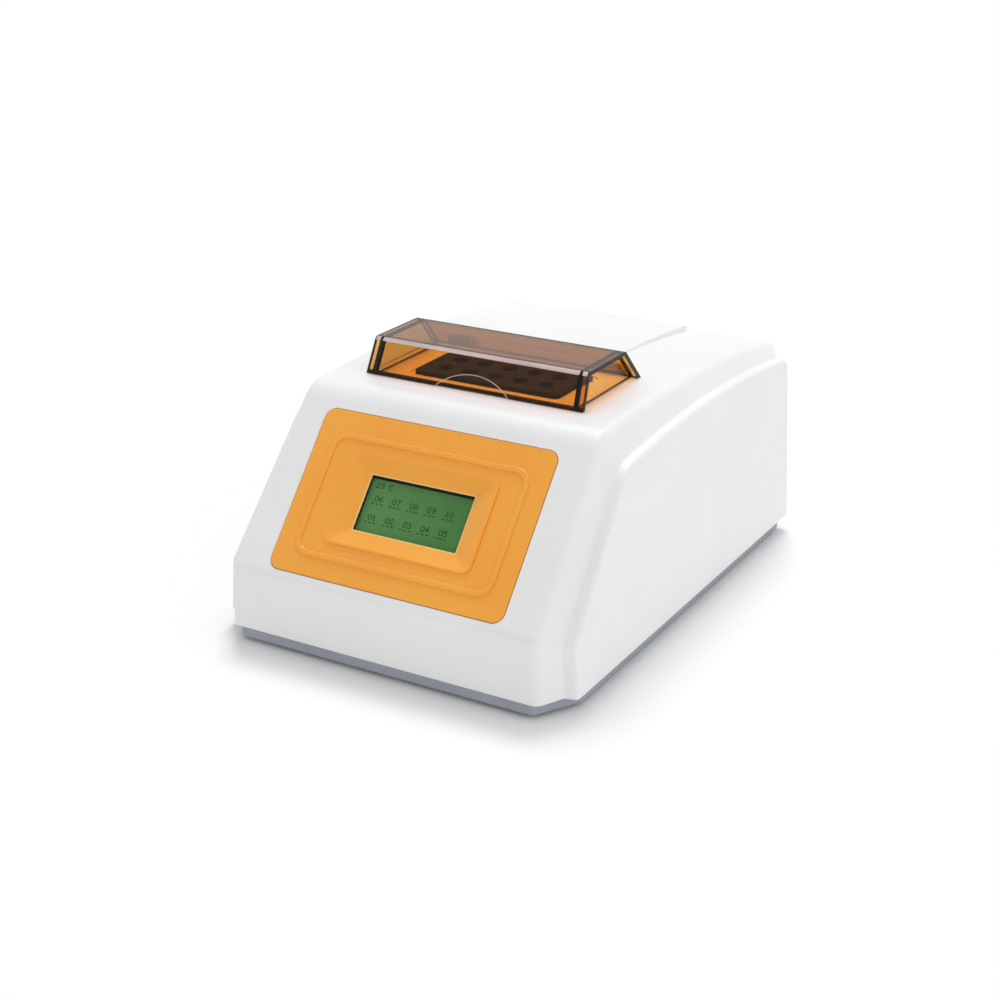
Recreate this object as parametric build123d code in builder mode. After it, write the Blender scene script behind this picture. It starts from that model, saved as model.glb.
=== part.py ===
from build123d import *
from math import atan2, cos, degrees, radians, sin, sqrt, tan
import os

# Erythrocyte sedimentation rate analyzer with ten tube places, in millimetres.
# X runs to the right seen from the front, Y to the back, Z up.
# The origin is under the middle of the housing, on the table.

os.makedirs("parts", exist_ok=True)

# Housing, overall
body_depth = 348.0
foot_height = 3.0
pan_band = 7.7
wall = 4.0
flange_height = 4.0
front_half_width = 106.8
bevel_width = 8.4
wing_width = 7.8
shoulder_lean = 2.2
bevel_lean = 2.86
wing_lean = 3.4

# Housing, side profile
front_lean = 1.0
front_height = 39.3
slope_angle = 49.5
crease_radius = 10.0
shoulder_radius = 22.0
rear_radius = 14.0
apex_from_front = 157.5
apex_z = 148.3
arch_radius = 1250.0
wing_setback = 18.0
wing_front_inner = 17.0
wing_front_outer = 19.0
wing_rear_inset = 8.0
wing_crease_radius = 6.0
wing_knee_radius = 26.0
wing_rear_radius = 10.0
wing_apex_from_front = 207.5
wing_apex_z = 133.2
wing_arch_radius = 1000.0
shoulder_rounding = 6.0
wing_rounding = 2.5
valley_rounding = 1.5

# Raised pad behind the lid
rise_half_width = 44.0
rise_start_from_front = 208.0
rise_end_gap = 20.0
rise_radius = 1700.0
rise_apex_z = 149.05
rise_root = 2.0
rise_rounding = 0.8

# Orange front panel
panel_width = 162.0
panel_length = 106.4
panel_thickness = 2.5
panel_proud = 0.5
panel_gap = 0.5
panel_corner = 7.0
panel_above_crease = 5.0
panel_edge_rounding = 0.4
bead_above_edge = 52.2
bead_length = 134.4
bead_height = 76.8
bead_width = 3.8
bead_lift = 1.1
bead_rounding = 0.99
bead_corner = 9.0
panel_screw_x = 76.0
panel_screw_s = 46.0
panel_boss_radius = 3.0
panel_hole_gap = 0.4
panel_screw_head = 4.4

# Display frame moulded in the panel, and its window
window_above_edge = 52.9
window_length = 72.0
window_height = 35.8
window_drop = 3.4
window_sill = 0.5
window_corner = 0.5
window_overlap = 4.0
window_thickness = 1.5
frame_length = 102.6
frame_height = 60.0
frame_corner = 6.0
frame_lift = 1.0
frame_lip = 1.2
frame_back_length = 104.0
frame_back_height = 76.0
frame_back_depth = 5.8
frame_hole_gap = 2.0

# Display module
display_gap = 0.3
bezel_sheet = 0.8
cell_length = 78.0
cell_height = 50.0
cell_thickness = 2.8
backlight_thickness = 2.2
bezel_reveal = 1.0
display_board_length = 93.0
display_board_height = 70.0
board_thickness = 1.6
display_hole_x = 44.0
display_hole_s = 32.0
spacer_radius = 3.0
plug_depth = 5.0
plug_height = 6.0

# Lid
lid_length = 153.4
lid_top_length = 150.6
lid_depth = 78.4
lid_top_depth = 49.2
lid_front_run = 9.7
lid_height = 21.7
lid_wall = 2.5
lid_seat_gap = 0.3
lid_end_inset = 5.0
lid_edge_radius = 3.5
lid_inner_radius = 1.2
seat_margin = 0.6
seat_drop = 0.8
grip_chord = 52.0
grip_rise = 10.5
grip_depth = 0.6

# Lid hinges
hinge_back = 4.5
hinge_lift = 3.2
hinge_spacing = 110.0
knuckle_radius = 3.0
knuckle_length = 12.0
knuckle_gap = 0.3
knuckle_web = 2.1
pin_radius = 1.5
pin_clearance = 0.05
ear_thickness = 4.0
bracket_base = 2.0
bracket_sink = 2.1
bracket_depth = 16.0
bracket_front_gap = 1.2
bracket_fit = 0.3
bracket_screw_spacing = 12.0
bracket_screw_gap = 2.5
bracket_boss_height = 6.0

# Tube places
well_from_front = 147.5
well_columns = 5
well_rows = 2
well_pitch = 18.0
well_radius = 5.0
well_mouth = 0.6
plate_length = 102.6
plate_depth = 46.0
plate_thickness = 7.5
plate_proud = 1.9
plate_gap = 0.4
plate_corner = 3.0
plate_edge = 0.6
rim_step_width = 3.0
rim_step_drop = 0.8
mat_thickness = 1.0
base_thickness = 2.5

# Rack that carries the tubes, the sample plate and the guide rods
rack_floor_gap = 23.5
rack_thickness = 12.0
rack_length = 134.0
rack_depth = 74.0
rack_corner = 4.0
head_thickness = 4.0
column_x = 46.3
column_y = 31.0
column_radius = 4.0
pillar_x = 60.0
pillar_y = 30.0
pillar_radius = 5.0
plate_screw_y = 19.0

# Scanning carriage and its drive
carriage_rest_gap = 10.0
carriage_thickness = 8.0
carriage_length = 100.0
carriage_depth = 48.0
carriage_slot = 12.0
carriage_corner = 3.0
arm_width = 16.0
rod_x = 58.0
rod_radius = 3.0
rod_socket = 6.0
rod_boss_radius = 9.0
bushing_radius = 6.0
bushing_length = 19.0
running_gap = 0.05
bar_height = 8.0
bar_width = 4.5
bar_gap = 0.5
bar_length = 84.0
beam_radius = 1.2
screw_y = 54.0
screw_radius = 3.0
journal_radius = 2.5
journal_gap = 0.3
nut_radius = 5.0
nut_flange_radius = 8.0
nut_flange = 3.0
nut_arm_radius = 10.0
bearing_radius = 6.5
flag_x = 30.0
flag_thickness = 1.0
flag_reach = 8.0
sensor_past_flag = 1.0
flag_drop = 6.0
sensor_width = 16.0
sensor_slot = 4.0
sensor_height = 9.0
sensor_floor = 2.0

# Carriage motor
motor_side = 28.0
motor_height = 28.0
motor_corner = 3.0
motor_gap = 0.3
motor_boss_radius = 11.0
motor_boss_height = 2.0
motor_bore = 22.4
motor_side_gap = 0.5
motor_hole_spacing = 23.0
shaft_radius = 2.5
coupling_radius = 8.0
coupling_length = 16.0
coupling_gap = 0.7
coupling_rounding = 0.5
sheet = 2.5
bracket_foot = 10.0

# Base pan
pan_front_inset = 2.5
pan_front_half = 102.7
pan_half_width = 119.3
pan_front_chamfer = 28.8
pan_rear_inset = 2.5
pan_rear_half = 104.5
pan_rear_chamfer = 15.0
pan_floor = 2.5
pan_wall = 8.0
pan_lip = 2.5
pan_fit = 0.3
pan_corner = 4.0
boss_inset = 17.3
boss_y = 118.0
boss_radius = 5.0
boss_height = 30.0
rib_thickness = 3.0
vent_count = 9
vent_pitch = 9.0
vent_length = 46.0
vent_width = 3.0
foot_radius = 8.0
foot_x = 96.0
foot_inset = 36.0

# Rear bay and its plate
bay_length = 154.0
bay_height = 54.0
bay_above_rim = 12.0
bay_collar = 3.0
bay_past_pan = 1.1
bay_corner = 5.0
rear_sheet = 2.0
rear_gap = 0.2
rear_margin = 6.0
rear_foot = 16.0
rear_screw_x = 68.8

# Connectors and switch on the rear plate
inlet_x = -46.0
inlet_width = 34.0
inlet_height = 46.0
inlet_flange = 3.0
inlet_corner = 1.5
inlet_body_width = 29.0
inlet_body_height = 41.0
inlet_body_depth = 25.0
socket_width = 24.4
socket_height = 16.8
socket_depth = 17.0
socket_offset = 9.0
blade_width = 2.0
blade_height = 4.2
blade_spacing = 14.0
blade_offset = 4.0
blade_length = 12.0
blade_tail = 6.0
drawer_width = 20.0
drawer_height = 7.0
drawer_depth = 22.0
drawer_face = 1.6
drawer_offset = 12.0
drawer_gap = 0.3
drawer_lip = 1.0
drawer_end_gap = 1.0
drawer_front_wall = 1.0
drawer_side_wall = 1.5
switch_x = 0.0
switch_width = 15.0
switch_height = 23.0
switch_flange = 2.0
switch_body_width = 13.4
switch_body_height = 19.6
switch_body_depth = 16.0
rocker_width = 10.6
rocker_opening = 11.2
rocker_opening_height = 17.2
rocker_depth = 12.0
rocker_pivot_depth = 5.8
rocker_half = 7.4
rocker_tip = 5.2
rocker_middle = 4.2
rocker_angle = 8.0
rocker_pin_radius = 1.4
rocker_shoulder = 5.2
rocker_pin_gap = 0.2
port_x = 46.0
port_length = 31.0
port_height = 12.5
port_sheet = 1.0
port_shell_length = 17.0
port_shell_height = 8.6
port_shell_reach = 5.8
port_shell_angle = 80.0
port_shell_rounding = 1.2
port_hole_gap = 0.5
port_body_depth = 9.0
port_nut_spacing = 25.0
port_nut_radius = 2.8
port_nut_length = 5.0
port_nut_bite = 1.0
port_pin_pitch = 2.8
port_pin_radius = 0.5

# Controller board and power supply on the pan floor
electrics_y = 94.0
main_board_length = 90.0
main_board_depth = 84.0
main_board_x = 49.0
board_lift = 8.0
board_corner = 2.0
chip_x = 57.0
chip_side = 16.0
small_chip_x = 18.0
small_chip_y = 14.0
chip_height = 1.8
capacitor_x = 79.0
capacitor_y = 70.0
capacitor_radius = 5.0
capacitor_height = 14.0
transformer_side = 24.0
transformer_height = 18.0
supply_capacitor_height = 18.0
board_hole_inset = 4.0
supply_length = 92.0
supply_depth = 72.0
supply_height = 36.0
supply_x = -48.0
supply_sheet = 1.2
supply_tab = 8.0
supply_screw_x = 36.8
supply_foot_inset = 5.0
ribbon_x = 38.0
ribbon_width = 12.0
ribbon_thickness = 1.0
ribbon_bend = 4.0
header_height = 6.0
header_depth = 5.0
header_length = 8.0
ribbon_header_length = 16.0
header_inset = 7.5
motor_header_inset = 12.0
rear_header_inset = 10.0
lead_radius = 1.5
lead_bend = 2.5
lead_exit = 4.0

# Fasteners
screw_head_radius = 2.8
screw_head_height = 2.2
screw_shank_radius = 1.5
screw_length = 8.0
small_head_radius = 2.3
small_head_height = 1.6
small_shank_radius = 1.2
small_length = 5.0
head_cap_height = 1.2
socket_depth_share = 0.6
hole_gap = 0.1
head_gap = 0.3
tip_gap = 1.0
floor_tip_gap = 0.5

# Length by which a cut runs past the face that it opens
past = 1.0

# Places worked out from the sizes above
half_depth = body_depth / 2
rim_z = foot_height + pan_band
floor_z = foot_height + pan_floor
flange_top = rim_z + flange_height
slope = radians(slope_angle)
apex_y = apex_from_front - half_depth
well_y = well_from_front - half_depth
seat_z = apex_z - seat_drop
crease_y = front_lean - half_depth
crease_z = rim_z + front_height
bottom = (Align.CENTER, Align.CENTER, Align.MIN)
top = (Align.CENTER, Align.CENTER, Align.MAX)
to_front = (Align.CENTER, Align.MAX, Align.CENTER)
to_back = (Align.CENTER, Align.MIN, Align.CENTER)
from_front_low = (Align.CENTER, Align.MIN, Align.MIN)
from_back_low = (Align.CENTER, Align.MAX, Align.MIN)
outwards = Axis((0, 0, 0), (0, -sin(slope), cos(slope)))


def leaning_plane(x, z, lean):
    """A plane that faces along X and leans towards the middle as it rises."""
    tilt = radians(lean) * (1 if x > 0 else -1)
    return Plane(origin=(x, 0, z), x_dir=(0, 1, 0), z_dir=(cos(tilt), 0, sin(tilt)))


def arch(y, peak_y, peak_z, radius):
    """Height of a top arch at y."""
    return peak_z - radius + sqrt(radius**2 - (y - peak_y) ** 2)


def slope_plane(lift=0.0, along=0.0):
    """The plane of the sloping face, moved outwards by lift and up the slope by along."""
    y = crease_y + along * cos(slope) - lift * sin(slope)
    z = crease_z + along * sin(slope) + lift * cos(slope)
    return Plane(origin=(0, y, z), x_dir=(1, 0, 0), z_dir=(0, -sin(slope), cos(slope)))


def side_outline(plane, lean, base_z, setback, front_inset, rear_inset, peak, radius, rounds):
    """Side profile of the housing: front, slope, top arch and rear, with rounded corners."""
    start_y = crease_y + setback * sin(slope)
    start_z = crease_z - setback * cos(slope)
    rate = front_lean / front_height
    front_y = front_inset - half_depth
    turn_z = (start_y - start_z / tan(slope) - front_y + rate * rim_z) / (rate - 1 / tan(slope))
    turn = (front_y + rate * (turn_z - rim_z), turn_z)
    foot = (front_y + rate * (base_z - rim_z), base_z)
    off_y, off_z = start_y - peak[0], start_z - (peak[1] - radius)
    run = off_y * cos(slope) + off_z * sin(slope)
    along = sqrt(run**2 - off_y**2 - off_z**2 + radius**2) - run
    shoulder = (start_y + along * cos(slope), start_z + along * sin(slope))
    rear_y = half_depth - rear_inset
    rear = (rear_y, arch(rear_y, *peak, radius))
    middle_y = (shoulder[0] + rear_y) / 2
    middle = (middle_y, arch(middle_y, *peak, radius))
    steep = cos(radians(lean))
    place = lambda point: (point[0], (point[1] - rim_z) / steep)
    with BuildSketch(plane) as outline:
        with BuildLine():
            Polyline([place(p) for p in (shoulder, turn, foot, (rear_y, base_z), rear)])
            ThreePointArc(place(rear), place(middle), place(shoulder))
        make_face()
        for point, size in zip((turn, shoulder, rear), rounds):
            fillet(outline.vertices().sort_by_distance(place(point))[0], size)
    return outline.sketch


def housing_sections(inset, base_z):
    """Profiles of the housing from left to right, drawn in by inset, with their planes."""
    shift = inset * tan(atan2(wing_setback, bevel_width) / 2)
    wing_x = front_half_width + bevel_width
    wing_peak = (wing_apex_from_front - half_depth, wing_apex_z - inset)
    wing_rounds = [r - inset for r in (wing_crease_radius, wing_knee_radius, wing_rear_radius)]
    body_rounds = [r - inset for r in (crease_radius, shoulder_radius, rear_radius)]
    kinds = [
        (wing_x + wing_width - inset, wing_lean, wing_setback, wing_front_outer, wing_rear_inset),
        (wing_x - shift, bevel_lean, wing_setback, wing_front_inner, wing_rear_inset),
        (front_half_width - shift, shoulder_lean, 0, 0, 0),
    ]
    places = [(-x, *rest) for x, *rest in kinds] + kinds[::-1]
    found = []
    for x, lean, setback, front, rear in places:
        plane = leaning_plane(x, rim_z, lean)
        if setback:
            shape = (wing_peak, wing_arch_radius - inset, wing_rounds)
        else:
            shape = ((apex_y, apex_z - inset), arch_radius - inset, body_rounds)
        insets = (setback + inset, front + inset, rear + inset)
        found.append((side_outline(plane, lean, base_z, *insets, *shape), plane))
    return found


def edges_on(part, plane):
    """Edges of a part that lie in a plane, except those on its bottom."""
    low = part.bounding_box().min.Z + 0.5

    def lies(edge):
        spots = (edge @ 0, edge @ 0.5, edge @ 1)
        flat = all(abs((spot - plane.origin).dot(plane.z_dir)) < 0.02 for spot in spots)
        return flat and spots[1].Z > low

    return part.edges().filter_by(lies)


def pan_outline(inset):
    """Outline of the base pan seen from above, drawn in by inset."""
    front_y = pan_front_inset - half_depth
    rear_y = half_depth - pan_rear_inset
    right = [
        (pan_front_half, front_y),
        (pan_half_width, front_y + pan_front_chamfer),
        (pan_half_width, rear_y - pan_rear_chamfer),
        (pan_rear_half, rear_y),
    ]
    left = [(-x, y) for x, y in reversed(right)]
    with BuildSketch() as outline:
        with BuildLine():
            Polyline(right + left, close=True)
        make_face()
        fillet(outline.vertices(), pan_corner)
        if inset:
            offset(amount=-inset)
    return outline.sketch


def on_z(sketch, z):
    """A flat sketch lifted to height z."""
    return sketch.moved(Location((0, 0, z)))


def screws(places, head_radius, head_height, shank_radius, length, up=True):
    """Screws whose heads stand on the given places, with a socket in each head."""
    head_side, shank_side = (bottom, top) if up else (top, bottom)
    reach = head_height if up else -head_height
    with Locations(*places):
        Cylinder(head_radius, head_height, align=head_side)
        Cylinder(shank_radius, length, align=shank_side)
    with Locations(*[(x, y, z + reach) for x, y, z in places]):
        socket_depth = head_height * socket_depth_share
        Cylinder(head_radius / 2, socket_depth, align=shank_side, mode=Mode.SUBTRACT)


def four(x, y, z, centre_x=0.0, centre_y=0.0):
    """Four places at one height, mirrored in both directions about a centre."""
    return [(centre_x + sx * x, centre_y + sy * y, z) for sx in (-1, 1) for sy in (-1, 1)]


# Top cover: a moulded shell with bevelled shoulders and set-back side wings
lid_z = seat_z + lid_seat_gap
hinge_y = well_y + lid_depth / 2 + hinge_back
hinge_z = seat_z + hinge_lift
bracket_length = knuckle_length + 2 * (knuckle_gap + ear_thickness)
bracket_y = well_y + lid_depth / 2 + bracket_front_gap + bracket_depth / 2
bracket_floor_z = seat_z - bracket_sink
bracket_screw_y = hinge_y + knuckle_radius + small_head_radius + bracket_screw_gap
hinge_x = hinge_spacing / 2
panel_middle = panel_above_crease + panel_length / 2
window_middle = panel_above_crease + window_above_edge
bay_z = rim_z + bay_above_rim + bay_height / 2
inner_rear_y = half_depth - pan_rear_inset - pan_wall - bay_past_pan
rear_plate_y = inner_rear_y - rear_gap
boss_x = pan_half_width - boss_inset
boss_places = [(sx * boss_x, sy * boss_y) for sx in (-1, 1) for sy in (-1, 0, 1)]
small_screw = (small_head_radius, small_head_height, small_shank_radius)
large_screw = (screw_head_radius, screw_head_height, screw_shank_radius)
shank_hole = small_shank_radius + hole_gap

with BuildPart() as top_cover:
    outside = housing_sections(0, rim_z)
    loft([profile for profile, _ in outside], ruled=True)
    roundings = ((2, shoulder_rounding), (0, wing_rounding), (1, valley_rounding))
    for i, rounding in roundings:
        left_edges = edges_on(top_cover.part, outside[i][1])
        right_edges = edges_on(top_cover.part, outside[-1 - i][1])
        fillet(left_edges + right_edges, rounding)
    loft([profile for profile, _ in housing_sections(wall, flange_top)], ruled=True, mode=Mode.SUBTRACT)
    lip_hole = on_z(pan_outline(pan_wall - pan_lip - pan_fit), rim_z)
    extrude(lip_hole, amount=flange_height, mode=Mode.SUBTRACT)

    # Raised pad on the top behind the lid
    rise_ends = (rise_start_from_front - half_depth, half_depth - rise_end_gap)
    rise_spots = (rise_ends[0], sum(rise_ends) / 2, rise_ends[1])
    upper = [(y, arch(y, apex_y, rise_apex_z, rise_radius)) for y in rise_spots]
    lower = [(y, arch(y, apex_y, apex_z - rise_root, arch_radius)) for y in rise_spots]
    with BuildSketch(Plane.YZ):
        with BuildLine():
            ThreePointArc(*upper)
            ThreePointArc(*lower)
            Line(upper[0], lower[0])
            Line(upper[2], lower[2])
        make_face()
    extrude(amount=rise_half_width, both=True)
    off_rise = lambda spot: abs(spot.Z - arch(spot.Y, apex_y, rise_apex_z, rise_radius))
    rise_edges = top_cover.edges().filter_by(lambda edge: off_rise(edge @ 0.5) + off_rise(edge @ 0) < 0.01)
    fillet(rise_edges, rise_rounding)

    # Pocket for the front panel, with holes for the display frame and the panel's bosses
    with BuildSketch(slope_plane(panel_proud, panel_middle)):
        fit = 2 * panel_gap
        RectangleRounded(panel_width + fit, panel_length + fit, panel_corner + panel_gap)
    extrude(amount=-panel_thickness, mode=Mode.SUBTRACT)
    with BuildSketch(slope_plane(0, window_middle)):
        fit = 2 * frame_hole_gap
        RectangleRounded(frame_back_length + fit, frame_back_height + fit, frame_hole_gap)
    extrude(amount=-wall - past, mode=Mode.SUBTRACT)
    with BuildSketch(slope_plane(0, panel_middle)):
        with GridLocations(2 * panel_screw_x, 2 * panel_screw_s, 2, 2):
            Circle(panel_boss_radius + panel_hole_gap)
    extrude(amount=-wall - past, mode=Mode.SUBTRACT)

    # Shallow flat seat under the lid, stepped rim and opening for the sample plate
    with BuildSketch(Plane.XY.offset(seat_z)):
        with Locations((0, well_y)):
            Rectangle(lid_length + 2 * seat_margin, lid_depth + 2 * seat_margin)
    extrude(amount=wall, mode=Mode.SUBTRACT)
    for lip, low in ((plate_gap + rim_step_width, rim_step_drop), (plate_gap, 2 * wall)):
        with BuildSketch(Plane.XY.offset(seat_z - low)):
            with Locations((0, well_y)):
                RectangleRounded(plate_length + 2 * lip, plate_depth + 2 * lip, plate_corner + lip)
        extrude(amount=2 * wall, mode=Mode.SUBTRACT)

    # Thickened places under the hinge brackets, their pockets and screw holes
    with Locations(*[(s * hinge_x, bracket_y, bracket_floor_z) for s in (-1, 1)]):
        Box(bracket_length + wall, bracket_depth + wall, bracket_boss_height, align=top)
        Box(
            bracket_length + 2 * bracket_fit,
            bracket_depth + 2 * bracket_fit,
            2 * wall,
            align=bottom,
            mode=Mode.SUBTRACT,
        )
    with Locations(*four(bracket_screw_spacing / 2, 0, bracket_floor_z, hinge_x, bracket_screw_y)):
        Cylinder(small_shank_radius, small_length, align=top, mode=Mode.SUBTRACT)
    with Locations(*four(bracket_screw_spacing / 2, 0, bracket_floor_z, -hinge_x, bracket_screw_y)):
        Cylinder(small_shank_radius, small_length, align=top, mode=Mode.SUBTRACT)

    # Rear bay: a collar behind the opening for the connectors
    with BuildSketch(Plane.XZ.offset(-half_depth + wall / 2)):
        with Locations((0, bay_z)):
            collar = 2 * bay_collar
            RectangleRounded(bay_length + collar, bay_height + collar, bay_corner + bay_collar)
    extrude(amount=half_depth - wall / 2 - inner_rear_y)
    with BuildSketch(Plane.XZ.offset(-half_depth - past)):
        with Locations((0, bay_z)):
            RectangleRounded(bay_length, bay_height, bay_corner)
    extrude(amount=half_depth + past - inner_rear_y, mode=Mode.SUBTRACT)

    # Screw bosses on the side walls, each held by a rib
    rib_length = front_half_width + bevel_width + wing_width - wall - boss_x
    rib_height = boss_height - flange_height - past
    rib_x = boss_x + rib_length / 2
    with Locations(*[(x, y, rim_z) for x, y in boss_places]):
        Cylinder(boss_radius, boss_height, align=bottom)
    with Locations(*[(x * rib_x / boss_x, y, flange_top + past) for x, y in boss_places]):
        Box(rib_length, rib_thickness, rib_height, align=bottom)
    with Locations(*[(x, y, rim_z) for x, y in boss_places]):
        Cylinder(screw_shank_radius, screw_length + tip_gap, align=bottom, mode=Mode.SUBTRACT)
top_cover.part.label = "top_cover"
export_step(top_cover.part, "parts/top_cover.step")

# Base pan: a shallow moulded tray with a locating lip, bosses and vents
rack_base_z = floor_z + rack_floor_gap
mat_z = rack_base_z + base_thickness
rack_z = mat_z + mat_thickness
pan_boss_counterbore = screw_head_height + foot_height / 4
foot_y = half_depth - foot_inset
motor_y = well_y + screw_y
bracket_half = motor_side / 2 + motor_side_gap
foot_end = bracket_half + sheet + bracket_foot
foot_middle = foot_end - bracket_foot / 2
rear_foot_y = rear_plate_y - rear_sheet - rear_foot / 2
rear_half_length = bay_length / 2 + bay_collar + rear_margin
rear_screw_places = [(s * rear_screw_x, rear_foot_y) for s in (-1, 0, 1)]
supply_tab_y = supply_depth / 2 + supply_tab / 2
supply_screw_places = [(x, y) for x, y, _ in four(supply_screw_x, supply_tab_y, 0, supply_x, electrics_y)]
board_hole_x = main_board_length / 2 - board_hole_inset
board_hole_y = main_board_depth / 2 - board_hole_inset
board_hole_places = [(x, y) for x, y, _ in four(board_hole_x, board_hole_y, 0, main_board_x, electrics_y)]
with BuildPart() as base_pan:
    extrude(on_z(pan_outline(0), foot_height), amount=pan_band)
    extrude(on_z(pan_outline(pan_wall - pan_lip), rim_z), amount=flange_height)
    extrude(on_z(pan_outline(pan_wall), floor_z), amount=flange_top - floor_z, mode=Mode.SUBTRACT)
    with Locations(*[(x, y, foot_height) for x, y in boss_places]):
        Cylinder(boss_radius, pan_band, align=bottom)
    with Locations(*four(foot_x, foot_y, foot_height)):
        Cylinder(boss_radius, pan_band, align=bottom)
        Cylinder(small_shank_radius, small_length, align=bottom, mode=Mode.SUBTRACT)
    with Locations(*[(x, y, foot_height) for x, y in boss_places]):
        Cylinder(screw_shank_radius + head_gap, pan_band, align=bottom, mode=Mode.SUBTRACT)
        Cylinder(screw_head_radius + head_gap, pan_boss_counterbore, align=bottom, mode=Mode.SUBTRACT)
    with Locations(*four(pillar_x, pillar_y, floor_z, 0, well_y)):
        Cylinder(pillar_radius, rack_floor_gap, align=bottom)
    with Locations(*four(pillar_x, pillar_y, rack_base_z, 0, well_y)):
        Cylinder(screw_shank_radius, screw_length, align=top, mode=Mode.SUBTRACT)
    with BuildSketch(Plane.XY.offset(foot_height)):
        with Locations((0, well_y - rack_depth)):
            with GridLocations(vent_pitch, 1, vent_count, 1):
                SlotOverall(vent_length, vent_width, rotation=90)
    extrude(amount=pan_floor, mode=Mode.SUBTRACT)
    floor_holes = [(x, y) for x, y, _ in four(foot_middle, motor_side / 4, 0, 0, motor_y)]
    floor_holes += rear_screw_places + supply_screw_places + board_hole_places
    with Locations(*[(x, y, floor_z) for x, y in floor_holes]):
        Cylinder(small_shank_radius, pan_floor, align=top, mode=Mode.SUBTRACT)
base_pan.part.label = "base_pan"
export_step(base_pan.part, "parts/base_pan.step")

# Rubber feet with their screws
with BuildPart() as feet:
    with Locations(*four(foot_x, foot_y, 0)):
        Cylinder(foot_radius, foot_height, align=bottom)
    fillet(feet.edges().group_by(Axis.Z)[0], foot_height / 4)
    foot_head_z = foot_height / 3 + small_head_height / 2
    with Locations(*four(foot_x, foot_y, 0)):
        Cylinder(small_head_radius + 2 * hole_gap, foot_head_z, align=bottom, mode=Mode.SUBTRACT)
        Cylinder(shank_hole, foot_height, align=bottom, mode=Mode.SUBTRACT)
feet.part.label = "feet"
export_step(feet.part, "parts/feet.step")

with BuildPart() as foot_screws:
    screws(four(foot_x, foot_y, foot_head_z), *small_screw, small_length, up=False)
foot_screws.part.label = "foot_screws"
export_step(foot_screws.part, "parts/foot_screws.step")

with BuildPart() as cover_screws:
    places = [(x, y, foot_height + pan_boss_counterbore) for x, y in boss_places]
    screws(places, *large_screw, pan_band - pan_boss_counterbore + screw_length, up=False)
cover_screws.part.label = "cover_screws"
export_step(cover_screws.part, "parts/cover_screws.step")

# Front panel: bead ring, raised display frame and the funnel down to the window
panel_back = panel_proud - panel_thickness
sill_lift = -window_drop - window_sill
bead_middle = panel_above_crease + bead_above_edge
with BuildPart() as front_panel:
    with BuildSketch(slope_plane(panel_proud, panel_middle)):
        RectangleRounded(panel_width, panel_length, panel_corner)
    extrude(amount=-panel_thickness)
    panel_face = front_panel.faces().filter_by(slope_plane()).sort_by(outwards)[-1]
    fillet(panel_face.edges(), panel_edge_rounding)
    with BuildSketch(slope_plane(panel_proud, bead_middle)) as ring:
        half = bead_width / 2
        RectangleRounded(bead_length + bead_width, bead_height + bead_width, bead_corner + half)
        RectangleRounded(
            bead_length - bead_width, bead_height - bead_width, bead_corner - half, mode=Mode.SUBTRACT
        )
    extrude(amount=bead_lift)
    bead_face = front_panel.faces(Select.LAST).filter_by(slope_plane()).sort_by(outwards)[-1]
    fillet(bead_face.edges(), bead_rounding)
    with BuildSketch(slope_plane(panel_proud, window_middle)):
        RectangleRounded(frame_length, frame_height, frame_corner)
    extrude(amount=frame_lift)
    with BuildSketch(slope_plane(panel_back, window_middle)):
        RectangleRounded(frame_back_length, frame_back_height, spacer_radius)
    extrude(amount=-frame_back_depth - panel_back)
    mouth_length = frame_length - 2 * frame_lip
    mouth_height = frame_height - 2 * frame_lip
    funnel_sizes = (
        (panel_proud + frame_lift, mouth_length, mouth_height, frame_corner - frame_lip),
        (-window_drop, window_length, window_height, window_corner),
    )
    funnel = []
    for lift, length, height, corner in funnel_sizes:
        with BuildSketch(slope_plane(lift, window_middle), mode=Mode.PRIVATE) as mouth:
            RectangleRounded(length, height, corner)
        funnel.append(mouth.sketch)
    loft(funnel, mode=Mode.SUBTRACT)
    with BuildSketch(slope_plane(-window_drop, window_middle)):
        Rectangle(window_length, window_height)
    extrude(amount=-window_sill, mode=Mode.SUBTRACT)
    with BuildSketch(slope_plane(sill_lift, window_middle)):
        Rectangle(window_length + 2 * window_overlap, window_height + 2 * window_overlap)
    extrude(amount=-frame_back_depth - sill_lift, mode=Mode.SUBTRACT)
    with BuildSketch(slope_plane(panel_back, panel_middle)):
        with GridLocations(2 * panel_screw_x, 2 * panel_screw_s, 2, 2):
            Circle(panel_boss_radius)
    extrude(amount=-wall - panel_back + 2 * hole_gap)
    with BuildSketch(slope_plane(-wall, panel_middle)):
        with GridLocations(2 * panel_screw_x, 2 * panel_screw_s, 2, 2):
            Circle(small_shank_radius)
    extrude(amount=wall - tip_gap, mode=Mode.SUBTRACT)
    with BuildSketch(slope_plane(-frame_back_depth, window_middle)):
        with GridLocations(2 * display_hole_x, 2 * display_hole_s, 2, 2):
            Circle(small_shank_radius)
    extrude(amount=frame_back_depth / 2 + floor_tip_gap, mode=Mode.SUBTRACT)
front_panel.part.label = "front_panel"
export_step(front_panel.part, "parts/front_panel.step")

with BuildPart(slope_plane(0, panel_middle)) as panel_screws:
    places = four(panel_screw_x, panel_screw_s, -wall)
    screws(places, panel_screw_head, small_head_height, small_shank_radius, wall - tip_gap, up=False)
panel_screws.part.label = "panel_screws"
export_step(panel_screws.part, "parts/panel_screws.step")

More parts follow.
